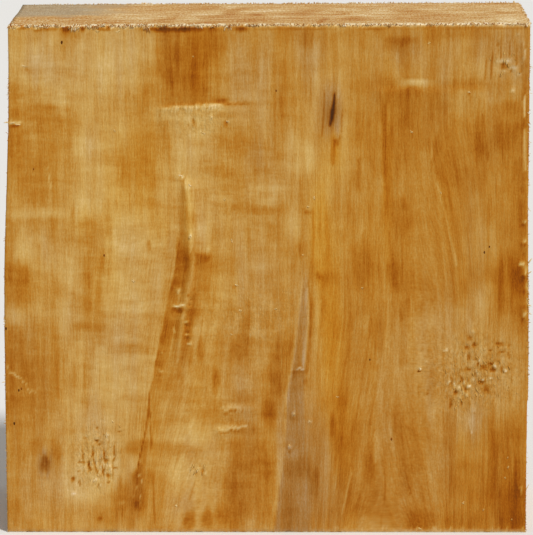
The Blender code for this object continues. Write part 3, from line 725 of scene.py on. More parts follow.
# %% Lips and flecks: painted highlights, painted shadows and specks
# x, height, half width, half height, shade: pale lips are painted highlights, the dark lines under them
# painted shadows
LIPS_HIGHLIGHTS_SHADOWS_FLECKS = [
    (-98.4,164.1,2,0.6,13), (-98.6,165.7,2.4,0.45,-2.6), (-94.4,187.6,1.5,0.32,-3.4),
    (-94.2,187,1.2,0.3,6.4), (-96.9,152.6,0.7,0.4,0), (-91.7,147,0.5,0.9,8.4), (-91.6,173.4,1.4,0.6,5.8),
    (101.6,140.1,1.2,0.5,7.4), (102,141,1.2,0.4,-5), (100.8,125,0.8,0.5,10), (101.2,126.4,0.7,0.6,-4),
    (101.8,116.8,0.8,0.6,11), (102,118.6,0.45,0.9,-2), (101.6,104.4,0.7,1,11), (100.8,102.4,0.8,0.7,11),
    (101,109.4,0.7,0.6,-4), (102,107.6,1,0.5,-4), (102.6,105.8,0.6,1.2,-2.5), (101.8,98,0.6,1.4,11),
    (103,100,0.4,1.5,-1), (102,91.4,0.8,1.1,10.6), (101.4,94.8,0.4,0.8,10), (103,94,0.35,1.4,0),
    (102.4,89,0.4,1.2,-2), (101.8,87.2,0.5,0.7,10), (-36.6,96.6,1.2,3.2,9.4), (-36,101.4,0.8,2,8.8),
    (-51.8,11.6,1,1.5,11), (-66.7,5.7,1,1.1,9.6), (-53,14.4,0.3,0.5,2), (-50.4,14.8,0.4,0.4,2),
    (-49.8,21,0.35,0.4,0.6), (-51.8,18.8,0.35,0.4,2.4), (-51,23.2,0.5,0.5,1.4), (-50.6,12.2,0.3,0.8,1.4),
    (-57.4,12.2,0.7,0.4,3), (-51.6,9.8,1.2,0.3,10.6), (90.6,68.2,0.5,0.65,-7), (94.8,66.2,0.6,0.4,-4.5),
    (80.2,60,0.6,0.5,-5), (89.1,63.2,0.65,0.4,-4), (86.1,62.6,0.4,0.5,-4), (84.1,70.3,0.35,0.55,-3),
    (76.6,59.6,0.4,0.8,-3), (78,57.4,0.35,0.8,-3), (74.6,60.8,0.4,0.7,-2.6), (73,62,0.45,0.45,-2.6),
    (71.1,74.4,0.7,0.35,-2), (60.9,67,0.4,0.5,-5), (79.5,56.2,0.5,0.4,-3), (82,62.8,0.4,0.7,-1.6),
    (78.7,62,0.4,0.6,-2), (83.6,65.4,0.35,1,-1), (85.4,61.3,1.1,0.5,10.4), (89.8,66.4,0.8,0.9,9.6),
    (88.6,68.9,0.8,0.5,9.6), (79.3,75.4,1,0.6,9.4), (82.1,76.4,0.6,0.8,10), (80.2,66.7,0.9,0.5,9),
    (93.6,66.4,0.4,0.9,9.2), (75,57.2,0.7,0.5,9), (73.2,52.6,0.4,1.3,9.8), (77.5,53.2,0.4,1.2,9.4),
    (64,57.4,0.45,0.55,10), (60.4,65.9,0.5,0.4,12), (92.4,76.8,1.2,0.6,9.4), (93.7,74,0.5,0.4,10.4),
    (96.2,72.6,0.35,0.9,9.4), (87.4,58.4,1.3,1.4,7.8), (86.4,67,1.7,0.9,7.8), (79.2,58.6,0.4,0.8,9),
    (77.4,62.4,0.35,1.1,9), (73.6,61,0.35,1,8.6), (79.2,177.5,0.8,0.42,-7), (79.4,176.5,0.7,0.35,9),
    (96.2,178.4,0.5,0.3,-4), (95.4,187,0.35,0.7,-2.4), (-63.2,40.2,0.8,0.4,-3.6),
    (-63.4,38.6,0.35,0.7,-1.6), (-67.4,38,0.8,0.5,10), (-66.4,36.4,0.6,0.4,9), (-70.9,27.6,0.5,1.5,10),
    (-73.8,29,1,0.3,6.2), (-63.2,23.2,0.7,0.9,9), (-63.6,29.6,0.7,0.35,7.6), (-77.2,21.9,0.5,1,9),
    (-77,15.9,0.7,0.5,-3.4), (-62.4,26.2,0.5,1.6,-1.6), (-66.9,19.2,0.5,0.4,9), (-74,29.8,0.35,0.35,-5),
    (-62.8,30.7,0.5,0.4,-3.4), (-63.4,27.6,0.9,1.2,-1.2), (-61.9,26,0.35,0.5,-3.4),
    (-66.3,26.8,0.4,0.6,-3.4), (-67.9,21.8,0.45,0.5,-3.2), (-66.2,20,0.7,0.4,-2), (-67.2,38.5,0.6,0.4,-2),
    (-74.2,26.6,0.5,0.6,-1.5), (-72.4,27.2,0.6,0.5,-0.8), (-69.8,29,0.35,1,-1.8), (-68.1,29.6,0.3,1.1,-1.4),
    (-66.5,30.6,0.3,1,-1.2), (-61.2,31,0.3,0.9,-1.4), (-64.4,22.8,0.35,0.8,-1.8), (-63,25.2,0.5,0.4,-1.4),
    (-63.3,20.6,0.4,0.8,8.8), (-65.1,25.2,0.3,1.1,9.2), (-67.5,25.3,0.25,0.6,7.8), (-75,25.2,0.6,0.25,7.6),
    (-60.6,26.4,0.6,0.25,7.6), (-70.4,25.8,0.4,0.5,8.8), (-74.7,20.8,0.25,0.7,8), (-35.2,90.9,2.4,0.6,11),
    (-35.8,92.3,1.5,0.45,-5), (-33,92.7,1.3,0.42,-4), (-36.6,88.6,1.6,0.6,8.4), (-33.8,143.6,1.4,0.35,7.6),
    (-34.2,144.8,1.1,0.35,-2.5), (-32.8,144.3,0.6,0.45,-5.5), (-30,140.7,0.4,0.45,-7),
    (-30,120.3,0.6,0.45,-7), (-25.4,112.6,2.4,0.5,9.4), (-23.4,111.4,1,0.8,10.6),
    (-22.8,115.5,0.6,0.4,-1.5), (-21.4,114.7,0.8,0.4,0), (13.4,66.9,1.5,0.4,-1), (11.8,65.2,1.8,0.7,9.4),
    (92.2,189.5,1.2,0.35,-2), (94.4,190,0.9,0.4,-3), (95.2,189.2,0.7,0.3,-1), (97,186.8,0.5,0.8,-2.4),
    (98.3,185.6,0.8,0.35,-1.6), (91.4,186,1.3,0.3,0.6), (92.8,188.4,1,0.5,8.4), (93.6,187.2,0.6,0.5,7.6),
    (-31.9,85.8,0.8,0.4,-1), (-31.6,83,0.7,0.35,0), (-31.6,80.8,0.6,0.35,-0.6), (-30.8,77.2,0.7,0.35,-1),
    (-36.6,82.4,0.5,0.9,1), (-34.6,98.4,0.9,0.8,1), (-31,96.8,0.6,0.6,9), (-29.2,95.4,0.5,0.9,9),
    (-42,65.8,0.8,0.35,2), (-41.2,73.4,0.4,0.5,2.4), (58.6,181.6,5,0.5,-1), (64.5,178.6,3,0.5,7.6),
    (-19,172.5,1.4,0.5,-3), (-21.8,172.2,0.5,0.6,-2.5), (-34.6,171.2,0.7,0.8,-2.5),
    (-31.4,171.6,0.5,0.9,-2), (-29.4,171,0.4,1,-2), (-27.2,171.2,0.4,0.9,-2), (-24.6,171.4,0.4,0.8,-1.5),
    (-18.2,170.8,0.9,0.4,-1.5), (-23,171.4,0.35,0.8,7), (-28.3,165.6,0.6,0.9,7.4), (-30.5,165,0.4,0.5,6.4),
    (-21.6,168,0.5,1.4,-1), (-25.8,162.2,0.5,0.35,-4), (-24.5,161.2,0.5,0.4,-3), (-15.8,165,0.7,0.6,8.4),
    (-15.1,166,0.5,0.4,-3), (-28.4,160.4,0.7,0.6,-1.4), (-26.6,164.6,0.5,0.6,-1), (-33.8,161.4,0.9,0.7,0),
    (-34,159.8,0.6,0.6,4.4),
]


def lay_highlights_shadows_and_flecks(shade, x, z):
    """Every painted highlight, painted shadow and fleck laid over the shade in turn."""
    return lay_ovals(shade, LIPS_HIGHLIGHTS_SHADOWS_FLECKS, *ragged_place(x, z), 0.9, 1.5)


print(len(LIPS_HIGHLIGHTS_SHADOWS_FLECKS), "lips and flecks")

# %% [markdown]
# ### Single fibres
# Between all these marks, noise gives each bundle of fibres its own shade, and cross ripples break it into
# quilted blocks. The ripples are partly the saw's and partly the curly figure's sheen, which in real wood
# shifts with the view and is painted here. In the torn patches the shade changes from lump to lump as well.

# %% Fibre bundles, ripples and torn patches
RIPPLED_PATCHES = [(-50, 95, 26, 42), (-14, 147, 18, 22), (-88, 175, 14, 20)]  # ovals with most ripples
TORN_PATCHES = [  # x, height, half width, half height, how badly
    (81, 65, 17, 14, 0.95), (-69, 31, 9, 13, 0.9), (95, 189, 5, 9, 0.35), (-27, 26, 4, 3, 0.4),
    (-51, 12, 3, 3, 0.4), (-27, 166, 12, 6, 0.5), (-6, 87, 20, 11, 0.42),
]
MOTTLE = 1.5


def rippled(x, z):
    """How strong the cross ripples are, about 0.2 to 1.3: most in the left half and the middle. They are
    partly the curly figure's painted sheen.
    """
    left = 1 - ease((x - 2) / 22)
    bands = sum(spot(x, z, *patch, 1.5) for patch in RIPPLED_PATCHES)
    return 0.25 + 0.45 * left + 0.6 * np.minimum(bands, 1)


def torn_share(x, z):
    """How badly the fibres are torn here, 0 to 1: the strongest of the torn patches."""
    share = np.zeros(np.shape(x))
    for *oval, strength in TORN_PATCHES:
        share = np.maximum(share, strength * spot(x, z, *oval, 1.3))
    return share


def figure_noise(x, z):
    """Shade of single fibre bundles: streaks 1 to 4 mm wide and some centimetres long, and the quilted
    blocks a few millimetres high that cross them, partly the curly figure's painted sheen. Both are
    sharpened, so that they keep their edges."""
    across = fibre_place(x, z)
    wide = np.tanh(1.8 * cloud(across / 3.4, z / 34, 31))
    narrow = np.tanh(1.6 * cloud(across / 1.5, z / 24, 32))
    thin = cloud(across / 0.8, z / 15, 33)
    quilt = np.tanh(2.4 * cloud(across / 5, (z + 0.05 * x) / 5.5, 34))
    bars = np.tanh(2.2 * cloud(x / 9, (z + 0.04 * x) / 2.4, 35)) * rippled(x, z)
    upright = 1.35 - 0.4 * rippled(x, z)
    return upright * (0.5 * wide + 0.62 * narrow + 0.6 * thin) + 0.5 * quilt + 0.75 * bars


def lay_fibres(shade, x, z):
    """The fibre noise added to the shade, with a sharpened mottle in the torn patches."""
    mottle = np.tanh(1.8 * cloud((x - 0.25 * z) / 0.9, z / 1.3, 59))
    return shade + figure_noise(x, z) + MOTTLE * torn_share(x, z) * mottle


print("ripples, left and right:", rippled(np.array([-90.0, 90.0]), 175.0).round(2))

# %% [markdown]
# ### Under the top edge
# The saw pushed a felt of broken fibre over the top edge. It is pale and ragged, with painted shadow under
# it, and it is missing where whole tufts broke off. A thinner one lies over the right part of the foot.

# %% Felt, and the painted shadow under the burr
BURR_GAPS = [(-78.2, 1.6), (-71.6, 0.8), (-61.8, 0.8), (-95, 1), (-9.6, 0.9), (-91.5, 0.7)]  # x, half width
# x, height, half width, half height, shade of the painted shadows under the burr's tufts
SHADOW_UNDER_BURR = [
    (-37.5, 202.3, 9.5, 0.9, 13), (-40.5, 202.6, 2.6, 1.2, 14.5), (-32, 202.4, 3.6, 1.1, 14.5),
    (-26.4, 202.3, 2, 0.9, 11.5), (-9.6, 202.4, 2.4, 1, 12), (-78.2, 202.3, 1.8, 1.4, 12.5),
    (-71.6, 202.4, 1, 1.2, 12.5), (-61.8, 202.7, 1, 0.9, 12), (-21, 202.3, 2.5, 0.8, 10),
    (-89, 202.4, 1.6, 1, 9), (-64, 202.4, 4, 0.7, 8.5), (-84, 202.5, 3, 0.8, 9), (-95, 202.8, 2, 0.8, 9),
    (42, 202.2, 4, 0.5, 8.6), (12, 202.4, 14, 0.5, 7.8), (80, 202.5, 22, 0.4, 6.8),
]


def gap_share(x):
    """1 where a whole tuft of the top burr broke off, and 0 elsewhere."""
    share = np.zeros(np.shape(x))
    for place, half in BURR_GAPS:
        share = np.maximum(share, spot(x, x * 0, place, 0, half, 1, 2))
    return share


def felt_cover(x, z):
    """1 in the felt of broken fibre just under the top edge, and less in the thin one over the foot. Its
    lower rim is ragged, and it hangs lowest on the left."""
    coarse = ease((-20 - x) / 50)
    hang = 0.75 + 0.5 * cloud(x / 0.9, x * 0, 91) + coarse * (0.35 + 0.8 * cloud(x / 2.4, x * 0, 92))
    top = ease((hang - top_cut(x) + z) / 0.5 + 0.5) * (1 - gap_share(x))
    foot = ease((1.6 + 1.2 * cloud(x / 0.8, z / 0.9, 96) - z) / 0.8) * ease((x + 20) / 90)
    return np.maximum(top, 0.6 * foot)


def lay_felt(shade, x, z):
    """The painted shadows under the burr, then the felt in its own speckled shade."""
    ragged_x, _ = ragged_place(x, z)
    shade = lay_ovals(shade, SHADOW_UNDER_BURR, ragged_x, z + 0.3 * fray(x, z), 0.9, 1.6)
    felt = -1.6 + 3.6 * cloud(x / 0.7, z / 0.9, 97)
    return lay(shade, felt, 0.85 * felt_cover(x, z))


print(len(BURR_GAPS), "gaps in the felt")

# %% [markdown]
# ### All the layers together
# The face's shade is the washed figure with each layer laid on in the order above.

# %% The shade of the face
LAYERS = (
    lay_blocks, lay_glazes, lay_ridge, lay_heart, lay_shake, lay_step, lay_hollow_shade_and_lump_highlights, lay_streaks, lay_highlights_shadows_and_flecks,
    lay_fibres, lay_felt,
)


def face_stain(x, z):
    """Shade of the show face: the washed figure, then every layer in turn."""
    shade = washed_figure(x, z)
    for layer in LAYERS:
        shade = layer(shade, x, z)
    return shade


print("shade at the middle of the face", face_stain(0.0, 100.0).round(1))

# %% [markdown]
# ## Yellower and greyer wood
# Shade alone isn't all of the colour: some wood is yellower (below 0) or greyer (above 0) than its shade
# says. That is a second value, made of wide frayed ovals whose amounts add up.

# %% The tint of the face
TINTS = [
    (21,119,3,16,-1.4), (22,118,6,24,-0.4), (26,80,4,26,-1.2), (29,36,4,12,-0.5), (-50,146,9,22,-0.7),
    (50,118,16,16,-0.15), (56,145,20,20,-0.05), (-90,150,12,26,-0.3), (-66,102,5,14,-0.3),
    (-44,30,5,30,-0.4), (-22,55,8,30,-0.3), (-24,190,6,12,-0.3), (-22,102,8,12,-0.3), (84,72,20,26,0.1),
    (92,191,11,12,0.35), (-72,187,20,14,0.1), (-70,150,4,14,-0.15), (-60,116,4,20,-0.25), (-9,186,6,20,0.3),
    (-67,29,8,10,0.05), (-88.4,28,2,3.6,1.7), (26,169.5,4,10,1), (18,24,6,22,0.6), (52,198,6,3,-0.2),
    (47.5,140,2,34,-0.5), (-30.5,130,2,12,-0.6), (27,158,1.5,5,-1.2), (-8,108,8,10,0.15), (-10,54,6,14,0.2),
    (66,56,4,20,0.25), (70,30,4,12,0.25), (82,43,4,8,0.3), (57,194,6,6,0.2), (-88,18,9,11,0.3),
    (48,12,18,10,0.2), (25,12,5,8,0.2), (-16,22,12,10,0.15), (-40,200,4,4,0.2), (0,190,4,10,0.15),
    (-47,182,4,8,-0.3), (-73,170,5,10,-0.2), (-40,125,4,6,-0.3), (-19,156,7,16,-0.35), (26,150,4,8,-0.5),
    (30,163,3,14,-0.4), (24,184,3,7,-0.3), (50,50,46,56,0.08), (-10,62,16,46,0.15), (-68,80,8,10,0.2),
    (-91,78,8,30,0.18), (-33,84,3,6,-0.25), (31,52,5,8,-0.3), (97,103,5,8,-0.3), (82,145,8,16,0.15),
    (66,188,6,10,0.2), (6,38,1.6,14,0.25), (94,191,9,10,0.15), (-51.4,18,2.4,8,0.4), (-86,114,4,8,0.2),
    (-28,184,3,6,-0.25), (19,190,5,9,0.3), (52,196,8,5,0.3), (-68,157,3,8,0.3), (27,163,2,8,0.4),
    (-4,151,4,5,0.3), (-24,155,8,6,0.2), (-54,119,5,9,0.3), (-70,46,4,8,0.3), (-28,35,9,5,0.25),
    (26,34,3,12,0.3), (-90,187,8,6,0.25), (-34,12,5,4,0.3), (70,88,8,10,0.15), (19,104,5,8,0.3),
    (80,46,8,6,0.2), (-92,102,7,12,-0.35), (-70,126,8,5,-0.3), (-77,77,4,9,-0.25), (71,134,4,20,-0.3),
    (68,157,5,6,-0.2), (40,160,4,8,-0.3), (32,118,10,10,-0.15), (87,187,8,6,-0.25), (67,42,3,12,-0.3),
    (35,42,6,14,-0.15), (-24,192,8,12,-0.15), (-8,24,5,10,-0.15),
]


def tint_cover(x, z):
    """Greyness from -1, yellow, to 1, grey: the sum of the tinted ovals, held to that span."""
    tint = 0.15 * cloud(fibre_place(x, z) / 7, z / 40, 26) + 0.12 * cloud(x / 2.5, z / 20, 27)
    frayed = z + 4 * fray(x, z)
    for *oval, amount in TINTS:
        tint = tint + amount * spot(x, frayed, *oval, 1.2)
    return np.clip(tint, -1, 1)


def face_tint(x, z):
    """Greyness of the show face: the tinted ovals, and the grey heart streak laid over them."""
    grey = grey_cover(x, z)
    weight = np.interp(z, (52, 76), (1.0, 0.65)) + 0.35 * fray(x, z)
    return tint_cover(x, z) * (1 - grey) + weight * grey


print(len(TINTS), "tinted ovals")

# %% [markdown]
# ## Figure elsewhere
# The back and the sides don't show, so they are only made in keeping. The back gets seeded patches of the
# same sizes and shades. The sides show the growth rings' edge, so they have many narrow upright lines.

# %% The shade of the back, the sides and the whole block
BACK_PATCHES = 90
TAKE_OVER = 14  # depth over which one stain gives way to the next


def back_stain(x, z):
    """Shade of the back: a seeded list of long upright ovals over soft bands."""
    dice = np.random.default_rng(41)
    shade = 4.2 + 1.6 * cloud(fibre_place(-x, z) / 9, z / 70, 42) + 0.8 * cloud(x / 2.4, z / 30, 43)
    ragged = fray(-x, z + 60)
    patches = zip(
        dice.uniform(-104, 104, BACK_PATCHES),
        dice.uniform(0, 204, BACK_PATCHES),
        dice.uniform(2, 9, BACK_PATCHES),
        dice.uniform(6, 34, BACK_PATCHES),
        dice.uniform(0.6, 8.8, BACK_PATCHES),
    )
    return lay_ovals(shade, patches, x, z + 4 * ragged, 0.75, 1.4)


def side_stain(x, y, z):
    """Shade inside the block: narrow bands by depth that wander slowly along the grain."""
    turn = np.where(x > 0, 31.0, 0.0)
    shade = 4.6 + 1.3 * cloud(y / 7 + turn, z / 90, 45) + 1.1 * cloud(y / 2.6 + turn, z / 60, 46)
    return shade + 0.9 * cloud(y / 18 + turn, z / 24, 47)


def block_stain(x, y, z):
    """Shade anywhere on the block: the face's stain in front, the back's behind and bands between."""
    inner = ease((y - FRONT - 1) / TAKE_OVER)
    outer = ease((BACK - y - 1) / TAKE_OVER)
    shade = lay(face_stain(x, z), side_stain(x, y, z), inner)
    return lay(back_stain(x, z), shade, outer)


print("shade at the middle of the back", back_stain(0.0, 100.0).round(1))

# %% [markdown]
# ## The end grain
# The two ends show the rings instead. They cross the top in bent bands, cream and orange by turns, over
# a grey weathered corner. The scale runs from 0, cream, to 4, burnt orange, and the ovals are laid on as
# before: x, depth from the middle, half width, half depth, shade.

# %% The shade and greyness of the ends
END_FIGURE = [
    (-85,-25,20,12,2.7), (-86,-29,8,4,1.3), (-55,-27,14,9,2.3), (-52,-9,8,6,1.1), (-60,30,8,5,2.8),
    (-48,20,7,9,2), (-60,8,12,8,1.6), (-40,-24,5,7,3.6), (-36,-12,3,7,3), (-32,4,4,6,2.2), (-27,18,6,4,3.1),
    (-19,27,6,4,2.6), (-31,-13,4,9,0.9), (-25,2,7,6,0.8), (-18,12,4,6,1.4), (-24,-30,6,6,3.2),
    (-15,9,3,10,3.3), (-13,-3,4,5,3.2), (-10,18,3,6,2.8), (-8,-23,11,6,3.3), (-4,-2,3,4,3.6),
    (-16,30,3,8,0.9), (-7,8,3,8,1.2), (-2,13,9,3,0.4), (5,-9,4,9,0.9), (10,0,6,3,2.8), (15,1,4,5,3.2),
    (14,-9,8,1.3,1), (18,14,4,10,2.6), (26,-2,5,3,3), (30,2,3,4,3), (31,16,6,6,1), (38,-5,7,4,0.6),
    (12,-22,10,9,2.6), (21.5,-22,1.6,9,4.2), (35,-20,5,8,3.2), (41,16,4,5,2.7), (47,8,5,12,1.1),
    (58,10,4,10,2.3), (52,-13,3,8,2.8), (60,-20,5,10,2.6), (70,-4,6,4,2.6), (74,-10,4,5,2.9),
    (82,0,7,18,1.6), (95,12,4,4,0.4), (97,5,6,2.5,2.6), (94,-25,8,11,0.8), (90,22,10,9,1.6),
    (66,20,8,9,1.6),
]
END_FELT_SHADE = -0.8


def end_stain(x, y):
    """Shade of the end grain: wavering ovals over a light orange wash, then the felt's pale edge."""
    wavy_x = x + 1.8 * cloud(x / 6, y / 9, 93)
    wavy_y = y + 3.0 * cloud(x / 7, y / 8, 94)
    shade = 1.9 + 0.5 * cloud(x / 14, y / 9, 95)
    shade = lay_ovals(shade, END_FIGURE, wavy_x, wavy_y, 0.9, 1.4)
    felt = ease((FRONT + 4 + 5 * cloud(x / 1.3, y / 9, 98) - y) / 2) * (1 - gap_share(x))
    return lay(shade, END_FELT_SHADE, 0.85 * felt)


def end_greyness(x, y):
    """How weathered the end is, 0 to about 0.9: most in the back left corner."""
    along = ease((-38 - x + 8 * cloud(x / 12, y / 10, 99)) / 44)
    return 0.9 * along * ease((y + 12 + 5 * cloud(x / 8, y / 9, 100)) / 12)


print(len(END_FIGURE), "patches on the ends")

# %% [markdown]
# ## The relief of the sawn face
# A band saw doesn't leave a true plane. Where its fence slipped there is a small step, where fibres
# crossed there is a ridge, and where the grain dived the teeth tore lumps out. Heights are millimetres
# that stand out of the face; hollows are below zero.

# %% The height of the face
RIDGE_HEIGHTS = (56, 66, 77, 87, 97, 108, 118, 130, 143)
RIDGE_CREST = (-37.3, -35.8, -34.4, -33, -31.2, -29.4, -30.6, -31, -31.4)  # X of the crest at each height
RIDGE_RISE = 0.9
FURROW_DEPTH = 0.35  # of the furrow right of the crest
SAW_STEPS = [  # left end, right end, rise, how fast its ends fade, how far down it sinks back
    ((40, 179), (88, 179.6), 0.35, 6, 10), ((-19, 51), (-3, 53.4), 0.45, 3, 6),
    ((-22, 42.6), (-7, 45), 0.45, 3, 5),
]
LONG_STEP_RISE = 0.6
SHAKE_DEPTH = 0.5
LUMP_RISE = 1.3  # share of a lump's listed height
COMB_RISE = 0.5


def torn_lumps(across, z):
    """Lumps of lifted fibre, -1 to 1: two sizes of noise, slanting down to the right."""
    slant = across - 0.35 * z
    return 0.65 * cloud(slant / 1.5, z / 2.6, 55) + 0.45 * cloud(across / 0.8, z / 1.4, 56)


def saw_step(x, z, start, end, rise, fall, run):
    """A step along a line: the wood below the line stands out by rise and sinks back over run. The rise
    fades beyond the line's two ends."""
    line = np.interp(x, (start[0], end[0]), (start[1], end[1]))
    line = line + 0.25 * cloud(x / 0.8, z / 40, 61) + 0.3 * cloud(x / 3, z / 40, 62)
    ends = ease((x - start[0]) / fall) * ease((end[0] - x) / fall)
    below = ease((line - z) / 0.9) * (1 - ease((line - z - 1) / run))
    return rise * ends * below


def ridge_relief(x, z):
    """A bell across the ridge's crest, steeper on the left, less a narrow furrow right of the crest."""
    crest = np.interp(z, RIDGE_HEIGHTS, RIDGE_CREST)
    flank = np.where(x < crest, (crest - x) / 2.0, (x - crest) / 4.5)
    ridge = RIDGE_RISE * np.exp(-(flank**2)) * ease((z - 66) / 24) * ease((143.5 - z) / 3)
    furrow = FURROW_DEPTH * np.exp(-(((x - crest - 2.4) / 1.3) ** 2))
    return ridge - furrow * ease((z - 72) / 8) * ease((112 - z) / 4)


def face_relief(x, z):
    """Height of the show face over the CAD plane: every step, ridge, hollow and lump, all added up."""
    across = fibre_place(x, z)
    height = 0.07 * cloud(x / 30, z / 25, 51) + 0.04 * cloud(x / 9, z / 3.1, 52)
    height = height + 0.035 * cloud(across / 1.2, z / 14, 53)
    below = long_step(x) - z
    ends = ease((x + 44) / 4) * ease((-8 - x) / 6)
    height = height + LONG_STEP_RISE * ends * ease(below / 0.6 + 0.5) * (1 - ease((below - 1) / 12))
    for step in SAW_STEPS:
        height = height + saw_step(x, z, *step)
    height = height + ridge_relief(x, z)
    away, width = along_path(x, z, SLOT_PATH)
    height = height - SHAKE_DEPTH * np.exp(-((away / width) ** 2))
    height = height + 0.3 * torn_share(x, z) * torn_lumps(across, z)
    place = ragged_place(x, z)
    for *oval, depth in PITS:
        height = height - depth * spot(*place, *oval, 1.3)
    for *oval, proud in LUMPS:
        height = height + LUMP_RISE * proud * spot(*place, *oval, 1.3)
    return height + COMB_RISE * comb(x, z)


print("the ridge stands", face_relief(-31.0, 118.0).round(2), "mm out at a height of 118 mm")

# %% [markdown]
# ## Growing the block
# The block is one closed skin. A fine grid covers the show face, loops of points carry its rim over the
# chewed edge and along the sides, where only every third point goes on, and a coarser grid closes the
# back. The rim follows the CAD's cuts exactly.

# %% The outline, and rows of cells on it
WIDTH = 208
HEIGHT = 204
TOP_WIDTH = 205
ACROSS = 372  # cells
UPWARD = 204
DEPTH_LOOPS = 26
FINE_STEPS = 4000
EDGE_ROUND = 0.5
EDGE_LOOPS = ((0.18, 0.14), (0.0, 0.55), (0.0, 1.8), (0.0, 3.4))  # how far in from the cuts, how deep
EDGE_DEPTH = EDGE_LOOPS[-1][1]
FINE_ACROSS = (37, 64, 74, 117, 131, 181, 191)  # from the left: a tear, ridge, streak, shake and tear
FINE_UPWARD = (24, 32, 41, 57, 65, 74, 82, 93, 171, 203)  # the tears, the ridge's lumps, the step


def rim_of(columns, rows):
    """Column and row of each point round a grid's rim, anticlockwise from the bottom left corner."""
    right = np.arange(columns)
    up = np.arange(rows)
    column = np.concatenate([right, np.full(rows, columns), columns - right, np.zeros(rows, int)])
    row = np.concatenate([np.zeros(columns, int), up, np.full(columns, rows), rows - up])
    return column, row


def finer_at(places, span, cells, spread, extra):
    """Shares of a span for a row of cells: the running sum of a density that rises near the places, so
    the cells are finer there."""
    fine = np.linspace(0, span, FINE_STEPS)
    density = np.ones(FINE_STEPS)
    for place in places:
        density += extra * np.exp(-(((fine - place) / spread) ** 2))
    total = np.cumsum(density) - density[0]
    return np.interp(np.linspace(0, total[-1], cells + 1), total, fine) / span


def outline(u, v, inset):
    """Point of the broad face at shares u and v of its width and height, pulled in from the cuts."""
    height = v * top_cut((u - 0.5) * TOP_WIDTH)
    x = (left_edge(height) + inset) * (1 - u) + (right_edge(height) - inset) * u
    z = inset + (height / top_cut(x)) * (top_cut(x) - 2 * inset)
    return x, z


def chew(x, z):
    """How far the broken edge eats into the show face, 0 to about 1 mm: worst along the top."""
    bite = 0.55 * cloud(x / 1.1, z / 1.6, 71) + 0.6 * cloud(x / 4, z / 6, 72)
    worst = 0.3 + 0.7 * ease((z - 199) / 4)
    return 1.1 * worst * np.clip(bite, 0, 1)


def rim_loop(u, v, inset, depth):
    """One loop of points round the block at a depth, pulled in from the cuts by inset."""
    x, z = outline(u, v, inset)
    return np.stack([x, np.broadcast_to(depth, x.shape), z], axis=1)


finest = np.diff(finer_at(FINE_ACROSS, WIDTH, ACROSS, 7, 0.7)).min() * WIDTH
print("finest cells across:", finest.round(2), "mm")

# %% [markdown]
# Loops and grids are joined by three kinds of faces: bands between equal loops, a fan where only every
# third point goes on, and the square cells of a grid.

# %% Faces between loops and grids
THIN_OUT = 3


def quads_between(first, second):
    """Faces between two closed loops of equal length, outward when the second lies deeper."""
    return np.stack([first, second, np.roll(second, -1), np.roll(first, -1)], axis=1)


def fan_between(fine, coarse):
    """Triangles from a fine loop to one with a third of its points."""
    start, one, two = fine[0::3], fine[1::3], fine[2::3]
    after = np.roll(start, -1)
    beyond = np.roll(coarse, -1)
    sets = [(start, coarse, one), (one, coarse, two), (two, coarse, beyond), (two, beyond, after)]
    return np.concatenate([np.stack(corners, axis=1) for corners in sets])


def grid_faces(first, columns, rows):
    """Square faces of a grid whose points are numbered row by row from first."""
    corner = first + np.arange(rows)[:, None] * (columns + 1) + np.arange(columns)
    corner = corner.ravel()
    return np.stack([corner, corner + 1, corner + columns + 2, corner + columns + 1], axis=1)


print("front grid of", ACROSS * UPWARD, "cells, back grid of", ACROSS * UPWARD // THIN_OUT**2)

# %% [markdown]
# From front to back, each loop of points is joined to the one before by a band of faces. The saw's scores
# on the sides, ends and back are pushed in at the end.

# %% The closed skin
def block_skin():
    """Points and faces of the closed block: front grid, edge loops, depth loops and back grid."""
    across = finer_at(FINE_ACROSS, WIDTH, ACROSS, 7, 0.7)
    upward = finer_at(FINE_UPWARD, HEIGHT, UPWARD, 4, 0.9)
    u, v = np.meshgrid(across, upward)
    x, z = outline(u.ravel(), v.ravel(), EDGE_ROUND)
    points = [np.stack([x, FRONT - face_relief(x, z), z], axis=1)]
    faces = [grid_faces(0, ACROSS, UPWARD)]
    column, row = rim_of(ACROSS, UPWARD)
    previous = row * (ACROSS + 1) + column
    u = across[column]
    v = upward[row]
    bite = chew(*outline(u, v, 0))
    points[0][previous, 1] += 0.5 * bite
    count = len(x)
    for inset, depth in EDGE_LOOPS:
        pulled_in = inset + (1 - depth / EDGE_DEPTH) * 0.5 * bite
        points.append(rim_loop(u, v, pulled_in, FRONT + depth + bite * (inset > 0)))
        loop = count + np.arange(len(column))
        faces.append(quads_between(previous, loop))
        previous = loop
        count += len(column)
    columns = ACROSS // THIN_OUT
    rows = UPWARD // THIN_OUT
    column, row = rim_of(columns, rows)
    across = across[::THIN_OUT]
    upward = upward[::THIN_OUT]
    depths = np.linspace(FRONT + 5.5, BACK - EDGE_ROUND, DEPTH_LOOPS)
    for number, depth in enumerate(depths):
        points.append(rim_loop(across[column], upward[row], 0.0, depth))
        loop = count + np.arange(len(column))
        faces.append(quads_between(previous, loop) if number else fan_between(previous, loop))
        previous = loop
        count += len(column)
    u, v = np.meshgrid(across, upward)
    x, z = outline(u.ravel(), v.ravel(), EDGE_ROUND)
    points.append(np.stack([x, np.full(len(x), BACK), z], axis=1))
    faces.append(grid_faces(count, columns, rows)[:, ::-1])
    faces.append(quads_between(previous, count + row * (columns + 1) + column))
    return np.concatenate(points), faces


